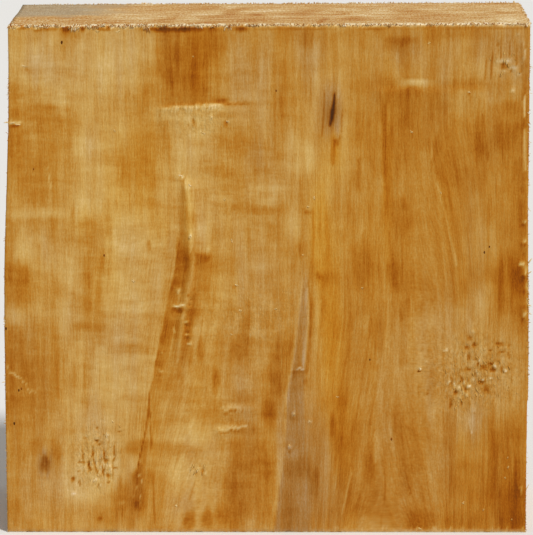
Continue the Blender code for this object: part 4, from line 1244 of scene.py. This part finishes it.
def saw_marks(points):
    """Rough sides, ends and back: shallow straight scores from the saw, pushed along each face's own
    direction. The front edge loops keep still, so the skin stays closed and in the CAD's box."""
    x, y, z = points.T
    depth = y - FRONT
    inside = ease((depth - 3.6) / 4) * ease((BACK - 0.3 - y) / 2)
    at_left = x - left_edge(z) < 0.05
    at_right = right_edge(z) - x < 0.05
    at_top = top_cut(x) - z < 0.05
    score = 0.10 * np.sin((z + 0.22 * y) / 1.9) + 0.12 * cloud(z / 3.0, y / 9, 81)
    points[:, 0] += (at_left * (score + 0.15) - at_right * (score + 0.15)) * inside
    points[:, 2] -= at_top * (0.12 * cloud(x / 5, y / 3, 82) + 0.12) * inside
    back_rough = 0.10 * cloud(x / 3, z / 9, 83) + 0.06 * np.sin((z + 0.1 * x) / 1.6) + 0.12
    away_from_edge = np.minimum(ease((x - left_edge(z) - 1) / 4), ease((right_edge(z) - x - 1) / 4))
    points[:, 1] -= (BACK - y < 0.01) * back_rough * away_from_edge
    return points


block_points, block_faces = block_skin()
block_points = saw_marks(block_points)
print(len(block_points), "points,", sum(len(part) * (part.shape[1] - 2) for part in block_faces), "triangles")

# %% [markdown]
# ## From numbers to a piece
# A mesh piece is made once, from points in millimetres and lists of faces. Values that its finish needs,
# such as the stain, ride along as attributes of the points.

# %% Making a piece
def make_piece(name, points, faces, values, finish):
    """Mesh object at the origin from points in mm and arrays of 3- or 4-cornered faces, with a number or
    a vector per point for each named value. It rides on the block and shows the finish."""
    mesh = bpy.data.meshes.new(name)
    mesh.from_pydata((points * MM).tolist(), [], [f for part in faces for f in part.tolist()])
    for key, value in values.items():
        kind = "FLOAT" if value.ndim == 1 else "FLOAT_VECTOR"
        field = "value" if value.ndim == 1 else "vector"
        layer = mesh.attributes.new(key, kind, "POINT")
        layer.data.foreach_set(field, value.astype(np.float32).ravel())
    mesh.polygons.foreach_set("use_smooth", np.ones(len(mesh.polygons), bool))
    mesh.materials.append(finish)
    mesh.update()
    piece = bpy.data.objects.new(name, mesh)
    bpy.context.scene.collection.objects.link(piece)
    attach(piece, "root")
    print(name, len(mesh.polygons), "faces")
    return piece


# %% [markdown]
# ## Writing a finish as sums
# A finish is a small sum of fields, so it is written as one. A `Wire` is one output of the finish's node
# tree, and plus, minus, times and divide on wires add the Math nodes that do it.

# %% Wires and finishes
class Wire:
    """One output socket. Arithmetic with numbers or other wires gives a new wire."""

    def __init__(self, finish, socket):
        self.finish = finish
        self.socket = socket

    def math(self, kind, first, second):
        return self.finish.node("ShaderNodeMath", {"operation": kind}, {0: first, 1: second})

    def __add__(self, other):
        return self.math("ADD", self, other)

    def __radd__(self, other):
        return self.math("ADD", other, self)

    def __sub__(self, other):
        return self.math("SUBTRACT", self, other)

    def __mul__(self, other):
        return self.math("MULTIPLY", self, other)

    def __rmul__(self, other):
        return self.math("MULTIPLY", other, self)

    def __truediv__(self, other):
        return self.math("DIVIDE", self, other)

    def above(self, level):
        return self.math("MAXIMUM", self, level)

    def below(self, level):
        return self.math("MINIMUM", self, level)


class Finish:
    """A material with its node tree, and one method that adds any node."""

    def __init__(self, name):
        self.material = bpy.data.materials.new(name)
        self.material.use_nodes = True
        self.tree = self.material.node_tree
        self.shader = self.tree.nodes["Principled BSDF"]

    def node(self, kind, settings, sockets, out=0):
        """Adds a node, makes its settings first and its sockets second, and gives one output back."""
        made = self.tree.nodes.new(kind)
        for key, value in settings.items():
            setattr(made, key, value)
        for key, value in sockets.items():
            self.plug(made.inputs[key], value)
        return Wire(self, made.outputs[out])

    def plug(self, socket, value):
        """Links a wire to a socket, or sets the socket to a plain value."""
        if isinstance(value, Wire):
            self.tree.links.new(value.socket, socket)
        else:
            socket.default_value = value

    def point_value(self, name):
        return self.node("ShaderNodeAttribute", {"attribute_name": name}, {}, "Fac")

    def point_vector(self, name):
        return self.node("ShaderNodeAttribute", {"attribute_name": name}, {}, "Vector")

    def noise(self, place, stretch, detail, rough, turn=0.0):
        """Noise about 0 whose grains are as long as stretch says along each axis of place, which may be
        turned about Z."""
        sockets = {"Vector": place, "Scale": stretch, "Rotation": (0.0, 0.0, turn)}
        spread = self.node("ShaderNodeMapping", {"vector_type": "TEXTURE"}, sockets)
        sockets = {"Vector": spread, "Scale": 1.0, "Detail": detail, "Roughness": rough}
        return self.node("ShaderNodeTexNoise", {"noise_dimensions": "3D"}, sockets) - 0.5

    def ramp(self, share, stops):
        """Colour ramp through (share, colour) stops."""
        made = self.node("ShaderNodeValToRGB", {}, {"Fac": share})
        bar = made.socket.node.color_ramp
        while len(bar.elements) < len(stops):
            bar.elements.new(0.5)
        for element, (place, colour) in zip(bar.elements, stops):
            element.position = place
            element.color = colour
        return made

    def mix(self, share, first, second, kind="MIX"):
        """Colour between two, or another blend of them."""
        settings = {"data_type": "RGBA", "blend_type": kind, "clamp_factor": True}
        return self.node("ShaderNodeMix", settings, {0: share, 6: first, 7: second}, 2)


def seen(red, green, blue):
    """Linear colour with alpha from the 0 to 255 values that a matched swatch has."""
    def to_light(level):
        share = level / 255
        return share / 12.92 if share <= 0.04045 else ((share + 0.055) / 1.055) ** 2.4
    return (to_light(red), to_light(green), to_light(blue), 1.0)


print("a middle honey brown is", [round(level, 3) for level in seen(193, 149, 78)[:3]], "in linear light")

# %% [markdown]
# ## The wood's own finish
# Nearly all the colour of this board lies on one road from cream through honey and amber to burnt brown,
# so a ramp turns shade into colour. Fine fibre lines and short cross ripples, partly the saw's and partly
# the curly figure's painted sheen, shift the shade a little, the tint pulls it to grey or yellow, and the
# end grain is mixed in over it.

# %% The sawn wood
END_ROAD = [
    (0.0, seen(240, 222, 186)), (0.2, seen(224, 196, 144)), (0.38, seen(212, 178, 121)),
    (0.56, seen(200, 158, 98)), (0.76, seen(190, 137, 70)), (1.0, seen(168, 102, 40)),
]
PALEST = -8
DARKEST = 20
ROAD = [
    (-8, seen(246, 236, 208)), (-4, seen(230, 206, 158)), (-1.25, seen(211, 176, 113)),
    (0.0, seen(204, 168, 101)), (1.2, seen(198, 158, 89)), (2.5, seen(193, 149, 78)),
    (3.5, seen(188, 140, 67)), (4.6, seen(183, 131, 55)), (5.7, seen(179, 122, 43)),
    (6.8, seen(174, 113, 34)), (8.0, seen(166, 102, 24)), (9.5, seen(155, 87, 14)),
    (11.2, seen(136, 70, 9)), (15, seen(92, 50, 14)), (20, seen(38, 26, 16)),
]
GREY_TINT = (0.81, 0.90, 1.72, 1.0)
YELLOW_TINT = (1.10, 1.06, 0.70, 1.0)
PLAIN = (1.0, 1.0, 1.0, 1.0)
END_GREYS = [(0.0, seen(138, 112, 84)), (0.45, seen(163, 141, 110)), (1.0, seen(190, 172, 138))]
END_TURN = math.radians(9)  # how far the rings on the ends lean


def sawn_finish():
    """Shade plus fibre noise through the ramp, then the tint and the end grain over it."""
    wood = Finish("sawn_wood_skin")
    place = wood.point_vector("grain")
    shade = wood.point_value("shade")
    torn = wood.point_value("torn")
    combed = wood.point_value("rippled")
    unseen = wood.point_value("unseen")
    on_end = wood.point_value("end_grain")
    weather = wood.point_value("end_grey")
    # Grain sizes across, through and along the fibres in millimetres, then detail and roughness
    fibre = wood.noise(place, (0.8, 0.8, 14.0), 2.0, 0.55)
    hair = wood.noise(place, (0.35, 0.35, 2.4), 1.0, 0.5)
    ripple = wood.noise(place, (5.0, 5.0, 1.3), 2.0, 0.55)
    grit = wood.noise(place, (0.45, 0.45, 0.7), 1.0, 0.5)
    speck = wood.noise(place, (0.8, 0.8, 1.4), 2.0, 0.6)
    vein = (wood.noise(place, (0.5, 0.5, 24.0), 1.0, 0.5) - 0.12).above(0.0)
    gleam = (wood.noise(place, (0.6, 0.6, 18.0), 1.0, 0.5) - 0.13).above(0.0)
    bands = wood.noise(place, (2.4, 2.4, 48.0), 3.0, 0.62)
    blocks = wood.noise(place, (7.0, 7.0, 9.0), 3.0, 0.6)
    scores = wood.noise(place, (70.0, 70.0, 0.9), 1.0, 0.5)
    rings = wood.noise(place, (16.0, 1.5, 60.0), 3.0, 0.6, END_TURN)
    fuzz = wood.noise(place, (0.9, 2.0, 3.0), 2.0, 0.6)
    nap = wood.noise(place, (0.5, 1.2, 1.0), 1.0, 0.5)

    # ripple times combed is partly the curly figure's painted sheen
    shade = shade + fibre * 3.7 + hair * 3.4 + ripple * combed * 2.6 + grit * 3.2
    shade = shade + vein * 10.0 - gleam * 9.0 + speck * torn * 6.0
    shade = shade + unseen * (bands * 9.0 + blocks * 6.0 + scores * 2.0)
    stops = [((level - PALEST) / (DARKEST - PALEST), colour) for level, colour in ROAD]
    colour = wood.ramp((shade - PALEST) / (DARKEST - PALEST), stops)
    tint = wood.point_value("tint")
    colour = wood.mix(1.0, colour, wood.mix(tint, PLAIN, GREY_TINT), "MULTIPLY")
    colour = wood.mix(1.0, colour, wood.mix(-1.0 * tint, PLAIN, YELLOW_TINT), "MULTIPLY")

    end_share = wood.point_value("end_shade") * 0.22 + 0.14
    end_share = end_share + rings * 1.5 + fuzz * 1.4 + nap * 1.1 + speck * torn * 1.6
    greyer = weather * 1.1 + rings * 1.8 + fuzz * 1.5
    end_grey = greyer.above(0.0).below(1.0) * weather * 1.1
    weathered = wood.ramp(0.54 + rings * 2.6 + fuzz * 1.8 + nap * 1.8, END_GREYS)
    end_colour = wood.mix(end_grey, wood.ramp(end_share, END_ROAD), weathered)
    wood.plug(wood.shader.inputs["Base Color"], wood.mix(on_end, colour, end_colour))

    wood.plug(wood.shader.inputs["Roughness"], 0.62 + fibre * 0.3)
    wood.shader.inputs["Specular IOR Level"].default_value = 0.04
    height = fibre * 0.5 + hair * 0.45 + ripple * 0.35 + speck * (torn * 2.0 + 0.25)
    height = height + on_end * (fuzz * 1.0 + nap * 1.2)
    bump = wood.node("ShaderNodeBump", {}, {"Strength": 0.8, "Distance": 0.0003, "Height": height})
    wood.plug(wood.shader.inputs["Normal"], bump)
    return wood.material


WOOD = sawn_finish()
print(len(WOOD.node_tree.nodes), "nodes in the wood's finish")

# %% [markdown]
# ## The dressed block
# Each point of the skin gets its values: shade and tint, how torn and how rippled it is, how far it lies
# behind the show face, its place along the grain, and the end grain's own values.

# %% The block, in place of the plain solid
x, y, z = block_points.T
on_end = np.maximum(ease((z - top_cut(x) + 0.6) / 0.5), ease((0.6 - z) / 0.5))
torn_corner = 0.7 * on_end * ease((-58 - x) / 12) * ease((-10 - y) / 8)
block_values = {
    "shade": block_stain(x, y, z),
    "tint": face_tint(x, z) * (1 - ease((y - FRONT) / 12)),
    "torn": torn_share(x, z) * (y < FRONT + 2) + torn_corner,
    "rippled": np.where(y < FRONT + 5, rippled(x, z), 0.35),
    "unseen": ease((y - FRONT - 1.5) / 5),
    "grain": np.stack([fibre_place(x, z), y, z], axis=1),
    "end_grain": on_end,
    "end_shade": end_stain(x, y),
    "end_grey": end_greyness(x, y),
}
block = make_piece("sawn_block", block_points, block_faces, block_values, WOOD)
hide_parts("turning_blank")
print("shade from", block_values["shade"].min().round(1), "to", block_values["shade"].max().round(1))

# %% [markdown]
# ## Slivers
# A torn fibre, a curl of burr and a flake are all one shape: a small tapered sliver, sunk in the wood at
# its root and bowed on the way to its tip. All slivers of one kind are worked out together, as one piece.

# %% Slivers by the hundred
SLIVER_RINGS = ((0.0, 0.75), (0.4, 1.0), (0.78, 0.62))  # share of the way, share of the full width
SLIVER_SIDES = 4


def slivers(root, reach, bow, half_width, half_thick):
    """Points and faces of many slivers. The middle line is root + reach t + 4 bow t (1 - t); round it lie
    rings of four points at the full width times a share, closed by one point at the root and the tip."""
    count = len(root)
    way = reach / np.linalg.norm(reach, axis=1)[:, None]
    flat = np.cross(way, (0.0, -1.0, 0.0))
    flat = flat / np.maximum(np.linalg.norm(flat, axis=1), 1e-6)[:, None]
    thick = np.cross(way, flat)
    points = [root - 0.1 * way]
    for share, fullness in SLIVER_RINGS:
        middle = root + reach * share + bow * (4 * share * (1 - share))
        wide = flat * (half_width * fullness)[:, None]
        deep = thick * (half_thick * fullness)[:, None]
        points += [middle + wide, middle + deep, middle - wide, middle - deep]
    points.append(root + reach)
    points = np.stack(points, axis=1)
    ring = np.arange(SLIVER_SIDES)
    after = np.roll(ring, -1)
    last = 1 + SLIVER_SIDES * (len(SLIVER_RINGS) - 1)
    tip = points.shape[1] - 1
    quads = []
    for first in range(1, last, SLIVER_SIDES):
        beyond = first + SLIVER_SIDES
        quads.append(np.stack([first + ring, first + after, beyond + after, beyond + ring], 1))
    ends = [
        np.stack([np.zeros(SLIVER_SIDES, int), 1 + after, 1 + ring], 1),
        np.stack([last + ring, last + after, np.full(SLIVER_SIDES, tip)], 1),
    ]
    start = (np.arange(count) * points.shape[1])[:, None, None]
    faces = [(start + np.concatenate(part)).reshape(-1, part[0].shape[1]) for part in (quads, ends)]
    return points.reshape(-1, 3), faces


def sliver_piece(name, root, reach, bow, half_width, half_thick, shade, tint=0.0, end=0.0):
    """One piece of many slivers, each of one shade and tint. With end at 1 the shade is one of the end
    grain's."""
    points, faces = slivers(root, reach, bow, half_width, half_thick)
    per_sliver = len(points) // len(root)
    nothing = np.zeros(len(points))
    values = {
        "shade": np.repeat(shade, per_sliver),
        "tint": np.full(len(points), tint),
        "torn": nothing,
        "rippled": nothing,
        "unseen": nothing,
        "grain": points,
        "end_grain": np.full(len(points), end),
        "end_shade": np.repeat(shade, per_sliver),
        "end_grey": nothing,
    }
    return make_piece(name, points, faces, values, WOOD)


def face_spot(x, z, proud=0.0):
    """Points on the sawn show face, a little proud of it or sunk into it."""
    return np.stack([x, FRONT - face_relief(x, z) - proud, z], axis=1)


print("a sliver has", SLIVER_SIDES * (len(SLIVER_RINGS) + 1), "faces")

# %% [markdown]
# ### Burr on the top edges
# The saw left the top cut through the show face, so it pushed the last fibres over the edge. They lie as a
# pale ragged fringe: coarse on the left, with gaps where whole tufts broke off, and short and dense on
# the right. The top's other edges carry a shorter burr, which stands up along the back.

# %% The burrs
TOP_BURRS = 1100
FAR_BURRS = 560
SIDE_BURRS = 190
BURR_TUFTS = [  # x, spread, droop below the edge, how many slivers
    (-99.6, 0.9, 1.5, 14), (-89, 1.2, 1, 14), (-86, 1.2, 1.1, 14), (-75.6, 1.3, 2.9, 26),
    (-73.4, 0.7, 2, 12), (-69.6, 0.8, 1.4, 12), (-66.4, 1.3, 1.7, 22), (-56, 1.4, 1.2, 16), (-52, 1, 1, 12),
    (-46.6, 0.8, 3.4, 22), (-26.4, 0.7, 1.6, 10), (-20.6, 0.7, 1.3, 10), (-14.6, 0.7, 2.5, 14),
    (-5, 1, 0.9, 12), (30, 1.2, 1, 12), (48, 1.2, 1.2, 14), (101.2, 0.8, 1.8, 14),
]


def burr_numbers(dice):
    """X, droop and thickness of every sliver of the burr: an even short fringe, then the hanging tufts."""
    x = dice.uniform(-100.4, 102.6, TOP_BURRS)
    x = x[dice.random(TOP_BURRS) > 0.9 * gap_share(x)]
    coarse = ease((-25 - x) / 50) * (0.6 + 0.4 * cloud(x / 2.5, x * 0, 102))
    droop = dice.uniform(-0.7, 0.4, len(x)) * (1 + 0.8 * coarse)
    thick = dice.uniform(0.10, 0.20, len(x)) * (1 + 0.7 * coarse)
    for place, spread, hang, count in BURR_TUFTS:
        x = np.concatenate([x, place + spread * dice.uniform(-1, 1, count)])
        droop = np.concatenate([droop, hang * dice.uniform(0.3, 1.0, count)])
        thick = np.concatenate([thick, dice.uniform(0.14, 0.27, count)])
    return x, droop, thick


def top_burr():
    """Seeded slivers along the top front edge. Each starts in the edge, bows out over it and hangs."""
    dice = np.random.default_rng(101)
    x, droop, thick = burr_numbers(dice)
    count = len(x)
    root = np.stack([x, FRONT + dice.uniform(0.0, 0.6, count), top_cut(x) - dice.uniform(0.0, 0.4, count)], 1)
    side = dice.normal(0, 0.35, count) * (0.5 + np.abs(droop))
    out = -dice.uniform(0.25, 0.6, count)
    reach = np.stack([side, out, 0.1 - droop], 1)
    bow = np.stack([side * 0.2, out * 0.5, 0.15 * np.abs(droop)], 1)
    shade = dice.uniform(-0.6, 4.2, count)
    sliver_piece("top_burr", root, reach, bow, thick, thick * 0.55, shade, 0.0, 1.0)


def far_burr():
    """Seeded slivers on the top cut's other edges: standing up along the back, leaning out on the right."""
    dice = np.random.default_rng(102)
    x = dice.uniform(-98, 102.4, FAR_BURRS)
    x = np.concatenate([x, dice.uniform(-70, -20, FAR_BURRS // 3)])
    count = len(x)
    high = dice.uniform(0.1, 0.9, count) * (0.75 + 0.4 * cloud(x / 5, x * 0, 103)) * ease((x + 99) / 14)
    high = high + 0.5 * ease((x - 98) / 2) * dice.random(count)
    root = np.stack([x, BACK - dice.uniform(0.1, 1.0, count), top_cut(x) - 0.15], 1)
    side = dice.normal(0, 0.25, count)
    reach = np.stack([side, dice.uniform(-0.1, 0.3, count), high + 0.15], 1)
    y = dice.uniform(FRONT + 2, BACK - 1, SIDE_BURRS)
    right = np.full(SIDE_BURRS, right_edge(203.5))
    side_root = np.stack([right - 0.2, y, top_cut(right) - dice.uniform(0.1, 0.7, SIDE_BURRS)], 1)
    out = dice.uniform(0.3, 1.1, SIDE_BURRS)
    side_reach = np.stack([out, dice.normal(0, 0.3, SIDE_BURRS), dice.uniform(-0.2, 0.4, SIDE_BURRS)], 1)
    root = np.concatenate([root, side_root])
    reach = np.concatenate([reach, side_reach])
    count = len(root)
    bow = dice.normal(0, 0.08, (count, 3))
    thick = dice.uniform(0.10, 0.22, count)
    shade = dice.uniform(-0.6, 2.6, count)
    sliver_piece("far_burr", root, reach, bow, thick, thick * 0.55, shade, 0.0, 1.0)


top_burr()
far_burr()

# %% [markdown]
# ### Whiskers on the rip cuts
# The two side cuts ran along the grain, so they left separate hairs instead of a fringe, most of them where
# the sides were cut most roughly.

# %% The whiskers
LEFT_WHISKERS = [(179, 7, 90), (100, 100, 220), (60, 4, 14), (20, 20, 40)]  # middle, reach, how many
RIGHT_WHISKERS = [(98, 8, 150), (70, 17, 190), (150, 40, 120), (190, 12, 60), (8, 7, 70), (30, 20, 40)]
LONG_HAIRS = [  # side, height, reach outwards, drop, half width
    (1, 177, 1.5, 0.3, 0.10), (1, 162, 0.9, -0.2, 0.12), (1, 157, 1.6, -0.6, 0.10),
    (1, 141, 1.3, 0.5, 0.10), (1, 131, 1.4, 0.9, 0.12), (1, 109, 1.9, -2.6, 0.28),
    (1, 105, 1.7, -1.2, 0.25), (1, 92.5, 1.5, 0.4, 0.25), (1, 89, 1.6, 0.2, 0.22), (1, 17, 1.6, -3.2, 0.16),
    (-1, 165.5, 2.2, 0.1, 0.30), (-1, 61.5, 1.9, 0.4, 0.20), (-1, 180, 1.4, 0.6, 0.10),
    (-1, 176, 1.6, -0.5, 0.10), (-1, 194, 0.8, 0.3, 0.12),
]


def seeded_hairs(dice):
    """Root, reach, bow, half width and shade of the short hairs, in bells about the listed heights."""
    heights = []
    sides = []
    for side, groups in ((-1, LEFT_WHISKERS), (1, RIGHT_WHISKERS)):
        for middle, reach, count in groups:
            heights.append(np.clip(dice.normal(middle, reach * 0.6, count), 1, 203))
            sides.append(np.full(count, side))
    z = np.concatenate(heights)
    side = np.concatenate(sides)
    count = len(z)
    edge = np.where(side > 0, right_edge(z), left_edge(z))
    root = np.stack([edge - side * dice.uniform(0, 0.7, count), FRONT + dice.uniform(0, 0.8, count), z], 1)
    length = dice.gamma(3.5, 0.13, count)[:, None]
    out = side * dice.uniform(0.3, 1.1, count)
    reach = np.stack([out, dice.normal(-0.4, 0.4, count), dice.normal(-0.1, 0.8, count)], 1) * length
    bow = dice.normal(0, 0.25, (count, 3)) * length
    return root, reach, bow, dice.uniform(0.06, 0.14, count), dice.uniform(-5, 6, count)


def long_hairs():
    """The same five values of the long hairs, each at its own height."""
    side, z, out, drop, width = np.array(LONG_HAIRS).T
    edge = np.where(side > 0, right_edge(z), left_edge(z))
    count = len(z)
    root = np.stack([edge - side * 0.4, np.full(count, FRONT + 0.3), z], 1)
    reach = np.stack([side * out, np.full(count, -0.4), -drop], 1)
    return root, reach, np.full((count, 3), 0.15), width, np.full(count, -3.0)


def side_whiskers():
    """The seeded hairs and the long ones on both front side edges, as one piece."""
    both = zip(seeded_hairs(np.random.default_rng(111)), long_hairs())
    root, reach, bow, width, shade = (np.concatenate(pair) for pair in both)
    sliver_piece("side_whiskers", root, reach, bow, width, width * 0.7, shade)


side_whiskers()

# %% [markdown]
# ### Chips and specks on the show face
# Small chips still hang on the face by one end: they catch the light as white flecks. Specks of dark
# resin and dirt sit in the pores. Each chip is a short line from one (x, height) to another.

# %% Chips and specks
PALE_CHIPS = [  # x and height of the root, x and height of the tip, half width
    (-96,188,-93.2,187.6,0.25), (-28.9,192,-28.1,191.5,0.3), (-21.8,167.8,-21.1,167.2,0.3),
    (-25.5,162,-24,161,0.28), (-15.3,166.1,-14.7,165.5,0.25), (-30.3,141.1,-29.6,140.5,0.25),
    (-30.3,120.7,-29.6,120.1,0.3), (-53,102.8,-52,102.1,0.35), (-59.9,162.8,-59.2,162.2,0.28),
    (-16.8,135.2,-16.2,134.8,0.25), (-13.8,118.6,-13.2,118,0.3), (-12.4,101.4,-11.6,100.7,0.35),
    (-10.8,90.8,-10.2,90.2,0.28), (-14.3,81.1,-13.7,80.5,0.3), (3.2,91.3,3.9,90.7,0.3),
    (14,113,14.7,112.4,0.35), (18.6,136.2,19.4,135.4,0.35), (16.2,132.3,16.9,131.7,0.35),
    (37.7,100.1,38.4,99.5,0.28), (63.2,196.8,63.9,196.2,0.35), (78.7,177.8,79.4,177.2,0.3),
    (56.7,162.1,57.4,161.5,0.3), (68.2,137.8,68.9,137.2,0.28), (-36.5,11.5,-35.8,10.9,0.3),
    (78.2,12.3,78.9,11.7,0.3), (86.2,9.6,86.9,9,0.28), (96,31.5,96.2,30.4,0.25), (96,27.5,96.2,26.4,0.25),
    (95,23,95.2,22,0.25), (97.8,6,98.4,5.4,0.28), (60.7,67.1,61.4,66.5,0.28), (27.7,55.8,28.4,55.2,0.25),
    (-34.5,144.8,-33,144,0.4), (-101,165.3,-98.5,165.4,0.3), (-99,165.2,-96.4,164.6,0.3),
    (-66.8,201.9,-65,201.2,0.45), (-59,200.6,-56.6,201.7,0.35), (60.2,2,62,1.2,0.4),
    (-98.8,203.6,-97.6,202.9,0.5), (10.6,49,11.4,48.3,0.35), (16.6,46,17.3,45.3,0.3), (8.8,36,9.4,35.2,0.3),
]
DARK_SPECKS = [  # x, height and half width
    (-79.8, 197, 0.45), (-91.5, 147, 0.3), (-64, 112.5, 0.35), (4, 178, 0.3), (86, 113.7, 0.35),
    (88, 116, 0.3), (-98.5, 58, 0.35), (-97.5, 58.7, 0.35), (-100.5, 44.5, 0.4), (-103.2, 83, 0.4),
    (49.7, 38.2, 0.4), (41, 70.5, 0.3),
]
CHIP_LAYERS = 3


def face_chips():
    """Each chip is three flat slivers laid askew: roots sunk in the face, tips standing a little proud."""
    dice = np.random.default_rng(121)
    root_x, root_z, tip_x, tip_z, half = np.repeat(np.array(PALE_CHIPS), CHIP_LAYERS, axis=0).T
    askew = dice.normal(0, 0.28, (4, len(root_x)))
    root = face_spot(root_x + askew[0], root_z + askew[1], -0.12)
    tip = face_spot(tip_x + askew[2], tip_z + askew[3], dice.uniform(0.0, 0.14, len(root_x)))
    bow = np.zeros_like(root)
    bow[:, 1] = -dice.uniform(0.02, 0.12, len(root_x))
    shade = face_stain(root_x, root_z) * 0.4 - dice.uniform(0.5, 3.5, len(root_x))
    half = half * dice.uniform(0.45, 0.95, len(root_x))
    sliver_piece("face_chips", root, tip - root, bow, half, half * 0.3, shade)


def face_specks():
    """Each speck is a short, broad sliver lying flat in a pore."""
    x, z, half = np.array(DARK_SPECKS).T
    root = face_spot(x, z + half * 1.6, -0.02)
    tip = face_spot(x, z - half * 1.6, 0.02)
    shade = np.random.default_rng(122).uniform(11, 16, len(root))
    sliver_piece("face_specks", root, tip - root, np.zeros_like(root), half, half * 0.3, shade)


face_chips()
face_specks()

# %% [markdown]
# ### Torn patches
# Where the grain dived under the saw, short bunches of fibre were lifted and snapped. Their snapped ends
# stand out pale, with dark hollows between.

# %% Torn fibres
TORN_SLIVERS = [  # x, height, half width, half height, how many
    (85, 66, 10, 12, 40), (76, 56, 5, 5, 16), (-68, 31, 7, 12, 26), (95, 189, 5, 8, 14),
    (-28, 26, 4, 2.5, 10),
]


def torn_slivers():
    """Seeded slivers scattered in bells over each torn patch, pointing down or up along the grain."""
    dice = np.random.default_rng(131)
    places = []
    for at_x, at_z, width, height, count in TORN_SLIVERS:
        x = np.clip(dice.normal(at_x, width * 0.55, count), -102, 101.5)
        places.append(np.stack([x, dice.normal(at_z, height * 0.55, count)], axis=1))
    x, z = np.concatenate(places).T
    count = len(x)
    length = dice.gamma(4, 0.30, count)
    lean = dice.normal(0, 0.35, count)
    way = np.where(dice.random(count) < 0.7, -1, 1)
    root = face_spot(x, z, -0.1)
    tip = face_spot(x + lean * length, z + way * length, dice.uniform(0.0, 0.18, count))
    bow = np.zeros((count, 3))
    bow[:, 1] = -0.10 * length
    width = dice.uniform(0.14, 0.36, count)
    shade = face_stain(x, z) - dice.uniform(-1.0, 3.0, count)
    sliver_piece("torn_fibres", root, tip - root, bow, width, width * 0.45, shade, -0.2)


torn_slivers()

# %% [markdown]
# ## The camera
# A long lens, a little above the block and almost square to its show face.

# %% Camera
CAMERA_PLACE = (0.0135, -1.438, 0.3609)
CAMERA_LENS = 242.24
CAMERA_TURN = math.radians(0.55)
CAMERA_TILT = math.radians(90 - 10.257)
CAMERA_ROLL = math.radians(-0.098)

camera = bpy.data.objects.new("camera", bpy.data.cameras.new("camera"))
camera.data.lens = CAMERA_LENS
camera.data.sensor_width = 36
aim = Matrix.Rotation(CAMERA_TURN, 4, "Z") @ Matrix.Rotation(CAMERA_TILT, 4, "X")
aim = aim @ Matrix.Rotation(CAMERA_ROLL, 4, "Z")
camera.matrix_world = Matrix.Translation(CAMERA_PLACE) @ aim
bpy.context.scene.collection.objects.link(camera)
bpy.context.scene.camera = camera
print("camera", round(-CAMERA_PLACE[1], 2), "m in front of the block")

# %% [markdown]
# ## Floor and light
# A plain pale floor and room. One soft key, like a hazy sun, comes from high on the right in front, so that
# every small burr has a lit upper edge and a soft shadow under it.

# %% Floor and light
ROOM_LIGHT = 0.40
KEY_LIGHT = 2.76
KEY_SIZE = math.radians(9)
KEY_HEIGHT = math.radians(51)
KEY_SIDE = math.radians(38)
FLOOR_HALF = 3.0


def pale_floor():
    """A large square, level with the block's foot."""
    half = FLOOR_HALF
    corners = [(-half, -half, 0), (half, -half, 0), (half, half, 0), (-half, half, 0)]
    mesh = bpy.data.meshes.new("floor")
    mesh.from_pydata(corners, [], [(0, 1, 2, 3)])
    paint = Finish("pale_floor")
    paint.shader.inputs["Base Color"].default_value = seen(226, 224, 220)
    paint.shader.inputs["Roughness"].default_value = 0.9
    mesh.materials.append(paint.material)
    floor = bpy.data.objects.new("floor", mesh)
    bpy.context.scene.collection.objects.link(floor)


def studio_light():
    """An even pale room, and a broad sun-like key from high on the right in front."""
    room = bpy.data.worlds.new("room")
    room.use_nodes = True
    back = room.node_tree.nodes["Background"]
    back.inputs["Color"].default_value = (1.0, 0.99, 0.97, 1.0)
    back.inputs["Strength"].default_value = ROOM_LIGHT
    bpy.context.scene.world = room
    key = bpy.data.objects.new("key", bpy.data.lights.new("key", "SUN"))
    key.data.energy = KEY_LIGHT
    key.data.angle = KEY_SIZE
    down = Matrix.Rotation(math.radians(90) - KEY_HEIGHT, 4, "X")
    key.matrix_world = Matrix.Rotation(KEY_SIDE, 4, "Z") @ down
    bpy.context.scene.collection.objects.link(key)


pale_floor()
studio_light()
bpy.context.scene.view_settings.view_transform = "Standard"
print("key", round(math.degrees(KEY_HEIGHT)), "degrees high")
